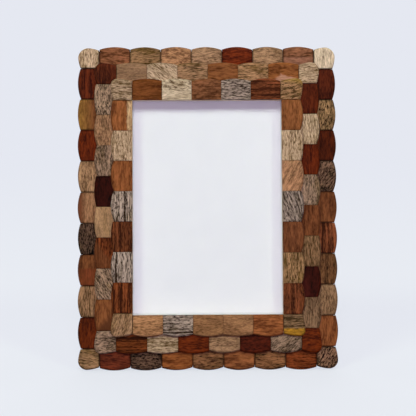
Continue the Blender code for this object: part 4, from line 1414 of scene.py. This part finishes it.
class MOSAIC_OT_hanger(bpy.types.Operator):
    """Make the wall hanger: its strap, screw and wire ring"""

    bl_idname = "mosaic_frame.hanger"
    bl_label = "Hanger"

    def execute(self, context):
        tiles, back, sizes = settings("mosaic_tiles"), settings("mosaic_back"), settings("mosaic_hardware")
        zinc = metal("zinc_plated_steel")
        thick = sizes.leaf_thickness
        eye = sizes.wire + sizes.wire_clearance + thick
        axis = np.array([0, back.back + back.fit + eye, tiles.height - sizes.hanger_drop])
        half = sizes.strap_width / 2
        radii = np.repeat([sizes.strap_fold, sizes.strap_corner], 2)
        outline = rounded(rectangle(-half, half, 0, sizes.strap_length), radii)
        points, faces = joined(
            plate(outline, -eye, thick - eye, back.plate_edge),
            tube(-half, half, eye, eye - thick, back.plate_edge),
        )
        add("hanger_strap", (points + axis, faces), zinc, "frame", "zinc_steel")
        head = (0, back.back + 2 * back.fit + thick, axis[2] + sizes.strap_hole)
        add_screw("hanger_screw", head, turn=0.5)
        # The ring hangs plumb from its strap, so it isn't leaned back.
        hung = partial(np.add, stand(axis))
        add("hanger_ring", self.ring(), zinc, "ring", "zinc_steel", place=hung, sharp=180)
        return {"FINISHED"}

    def ring(self):
        """Round wire along a closed path of (x, drop): a bar, two quarter turns and a half turn."""
        sizes = settings("mosaic_hardware")
        corner, bar = sizes.ring_corner, sizes.ring_bar
        side = bar + corner
        turn = np.linspace(0, np.pi / 2, 7)
        right = np.stack([bar + corner * np.sin(turn), corner * (1 - np.cos(turn))], -1)
        turn = np.linspace(0, np.pi, 31)[1:-1]
        bow = np.stack([side * np.cos(turn), corner + side * np.sin(turn)], -1)
        straight = np.stack([np.linspace(-bar, bar, 6)[1:-1], np.zeros(4)], -1)
        path = np.vstack([right, bow, (right * (-1, 1))[::-1], straight])
        run = np.roll(path, -1, 0) - np.roll(path, 1, 0)
        run /= np.linalg.norm(run, axis=1, keepdims=True)
        out = np.stack([run[:, 1], -run[:, 0]], -1)
        turn = np.linspace(0, 2 * np.pi, 16, endpoint=False)
        flat = path[:, None] + sizes.wire * np.cos(turn)[None, :, None] * out[:, None]
        deep = sizes.wire * np.sin(turn) + 0 * flat[..., 0]
        return skin(np.stack([flat[..., 0], deep, -flat[..., 1]], -1), endless=True)


def way_out(across, up):
    """Way out of the front, turned by an angle to the right and by one up: a point on the unit sphere."""
    level = math.cos(up)
    return np.array([level * math.sin(across), -level * math.cos(across), math.sin(up)])


class MOSAIC_OT_stage(bpy.types.Operator):
    """Set the floor, the background, the light and the camera"""

    bl_idname = "mosaic_frame.stage"
    bl_label = "Stage"

    def execute(self, context):
        stage = settings("mosaic_stage")
        context.scene.view_settings.view_transform = "Standard"
        self.add_floor(context, stage)
        self.add_world(context, stage)
        self.add_boxes(context, stage)
        self.add_camera(context, stage)
        return {"FINISHED"}

    def add_floor(self, context, stage):
        """One large square under the frame."""
        reach = stage.floor_reach
        data = bpy.data.meshes.new("floor")
        corners = [(x, z, 0) for x, z in rectangle(-reach, reach, -reach, reach)]
        data.from_pydata(corners, [], [(0, 1, 2, 3)])
        data.materials.append(material("pale_studio_board", studio_board))
        floor = bpy.data.objects.new("floor", data)
        context.scene.collection.objects.link(floor)

    def add_world(self, context, stage):
        """Weak light from all round, and the background's even colour where it is seen."""
        world = bpy.data.worlds.new("studio")
        context.scene.world = world
        world.use_nodes = True
        tree = world.node_tree
        tree.nodes.clear()
        fill = node(tree, "Background", {"Color": stage.fill, "Strength": stage.fill_level})
        behind = node(tree, "Background", {"Color": stage.background, "Strength": 1})
        mixed = node(tree, "MixShader", {0: seen(tree), 1: fill, 2: behind})
        node(tree, "OutputWorld", {"Surface": mixed})

    def add_boxes(self, context, stage):
        """Soft boxes round the frame, all at one distance, each at the power that gives white its level."""
        far = stage.lamp_distance
        middle = stand(np.array([0, 0, settings("mosaic_tiles").height / 2]))
        for name, (way, size, tint, level) in SOFT_BOXES.items():
            toward = Vector(turn_about_x(way_out(*np.radians(way)), -LEAN))
            lamp = bpy.data.lights.new(f"soft_box_{name}", "AREA")
            lamp.shape = "RECTANGLE"
            lamp.size, lamp.size_y = 2 * far * np.tan(np.radians(size) / 2)
            lamp.energy = getattr(stage, level) * (math.pi * far) ** 2
            lamp.color = getattr(stage, tint)[:3]
            box = bpy.data.objects.new(lamp.name, lamp)
            box.location = middle + far * np.array(toward)
            box.rotation_euler = toward.to_track_quat("Z", "Y").to_euler()
            context.scene.collection.objects.link(box)

    def add_camera(self, context, stage):
        """Camera at the photograph's angle, which looks at a point on the frame."""
        lens = bpy.data.cameras.new("camera")
        lens.lens = stage.lens
        lens.clip_end = stage.sight
        camera = bpy.data.objects.new("camera", lens)
        aim = stand(np.array([stage.aim_across, 0, stage.aim_up]))
        place = Matrix.Translation(aim + stage.distance * way_out(stage.azimuth, stage.elevation))
        turn = Matrix.Rotation(stage.azimuth, 4, "Z")
        turn = turn @ Matrix.Rotation(math.pi / 2 - stage.elevation, 4, "X")
        camera.matrix_world = place @ turn @ Matrix.Rotation(stage.roll, 4, "Z")
        context.scene.collection.objects.link(camera)
        context.scene.camera = camera


OPERATORS = (
    MOSAIC_OT_tiles,
    MOSAIC_OT_rails,
    MOSAIC_OT_contents,
    MOSAIC_OT_turn_buttons,
    MOSAIC_OT_easel,
    MOSAIC_OT_hanger,
    MOSAIC_OT_stage,
)


class MOSAIC_PT_frame(bpy.types.Panel):
    """Sizes, colours and pieces of the picture frame"""

    bl_idname = "MOSAIC_PT_frame"
    bl_label = "Picture Frame"
    bl_space_type = "VIEW_3D"
    bl_region_type = "UI"
    bl_category = "Picture Frame"

    def draw(self, context):
        for name, group in GROUPS.items():
            box = self.layout.box()
            box.label(text=group.__doc__)
            for key in group.__annotations__:
                box.prop(getattr(context.scene, name), key)
        for operator in OPERATORS:
            self.layout.operator(operator.bl_idname)


def register():
    for name, group in GROUPS.items():
        bpy.utils.register_class(group)
        setattr(bpy.types.Scene, name, bpy.props.PointerProperty(type=group))
    for made in (*OPERATORS, MOSAIC_PT_frame):
        bpy.utils.register_class(made)


def unregister():
    for made in (MOSAIC_PT_frame, *reversed(OPERATORS)):
        bpy.utils.unregister_class(made)
    for name, group in reversed(GROUPS.items()):
        delattr(bpy.types.Scene, name)
        bpy.utils.unregister_class(group)


def main():
    register()
    for operator in OPERATORS:
        group, name = operator.bl_idname.split(".")
        getattr(getattr(bpy.ops, group), name)()


if __name__ == "__main__":
    main()
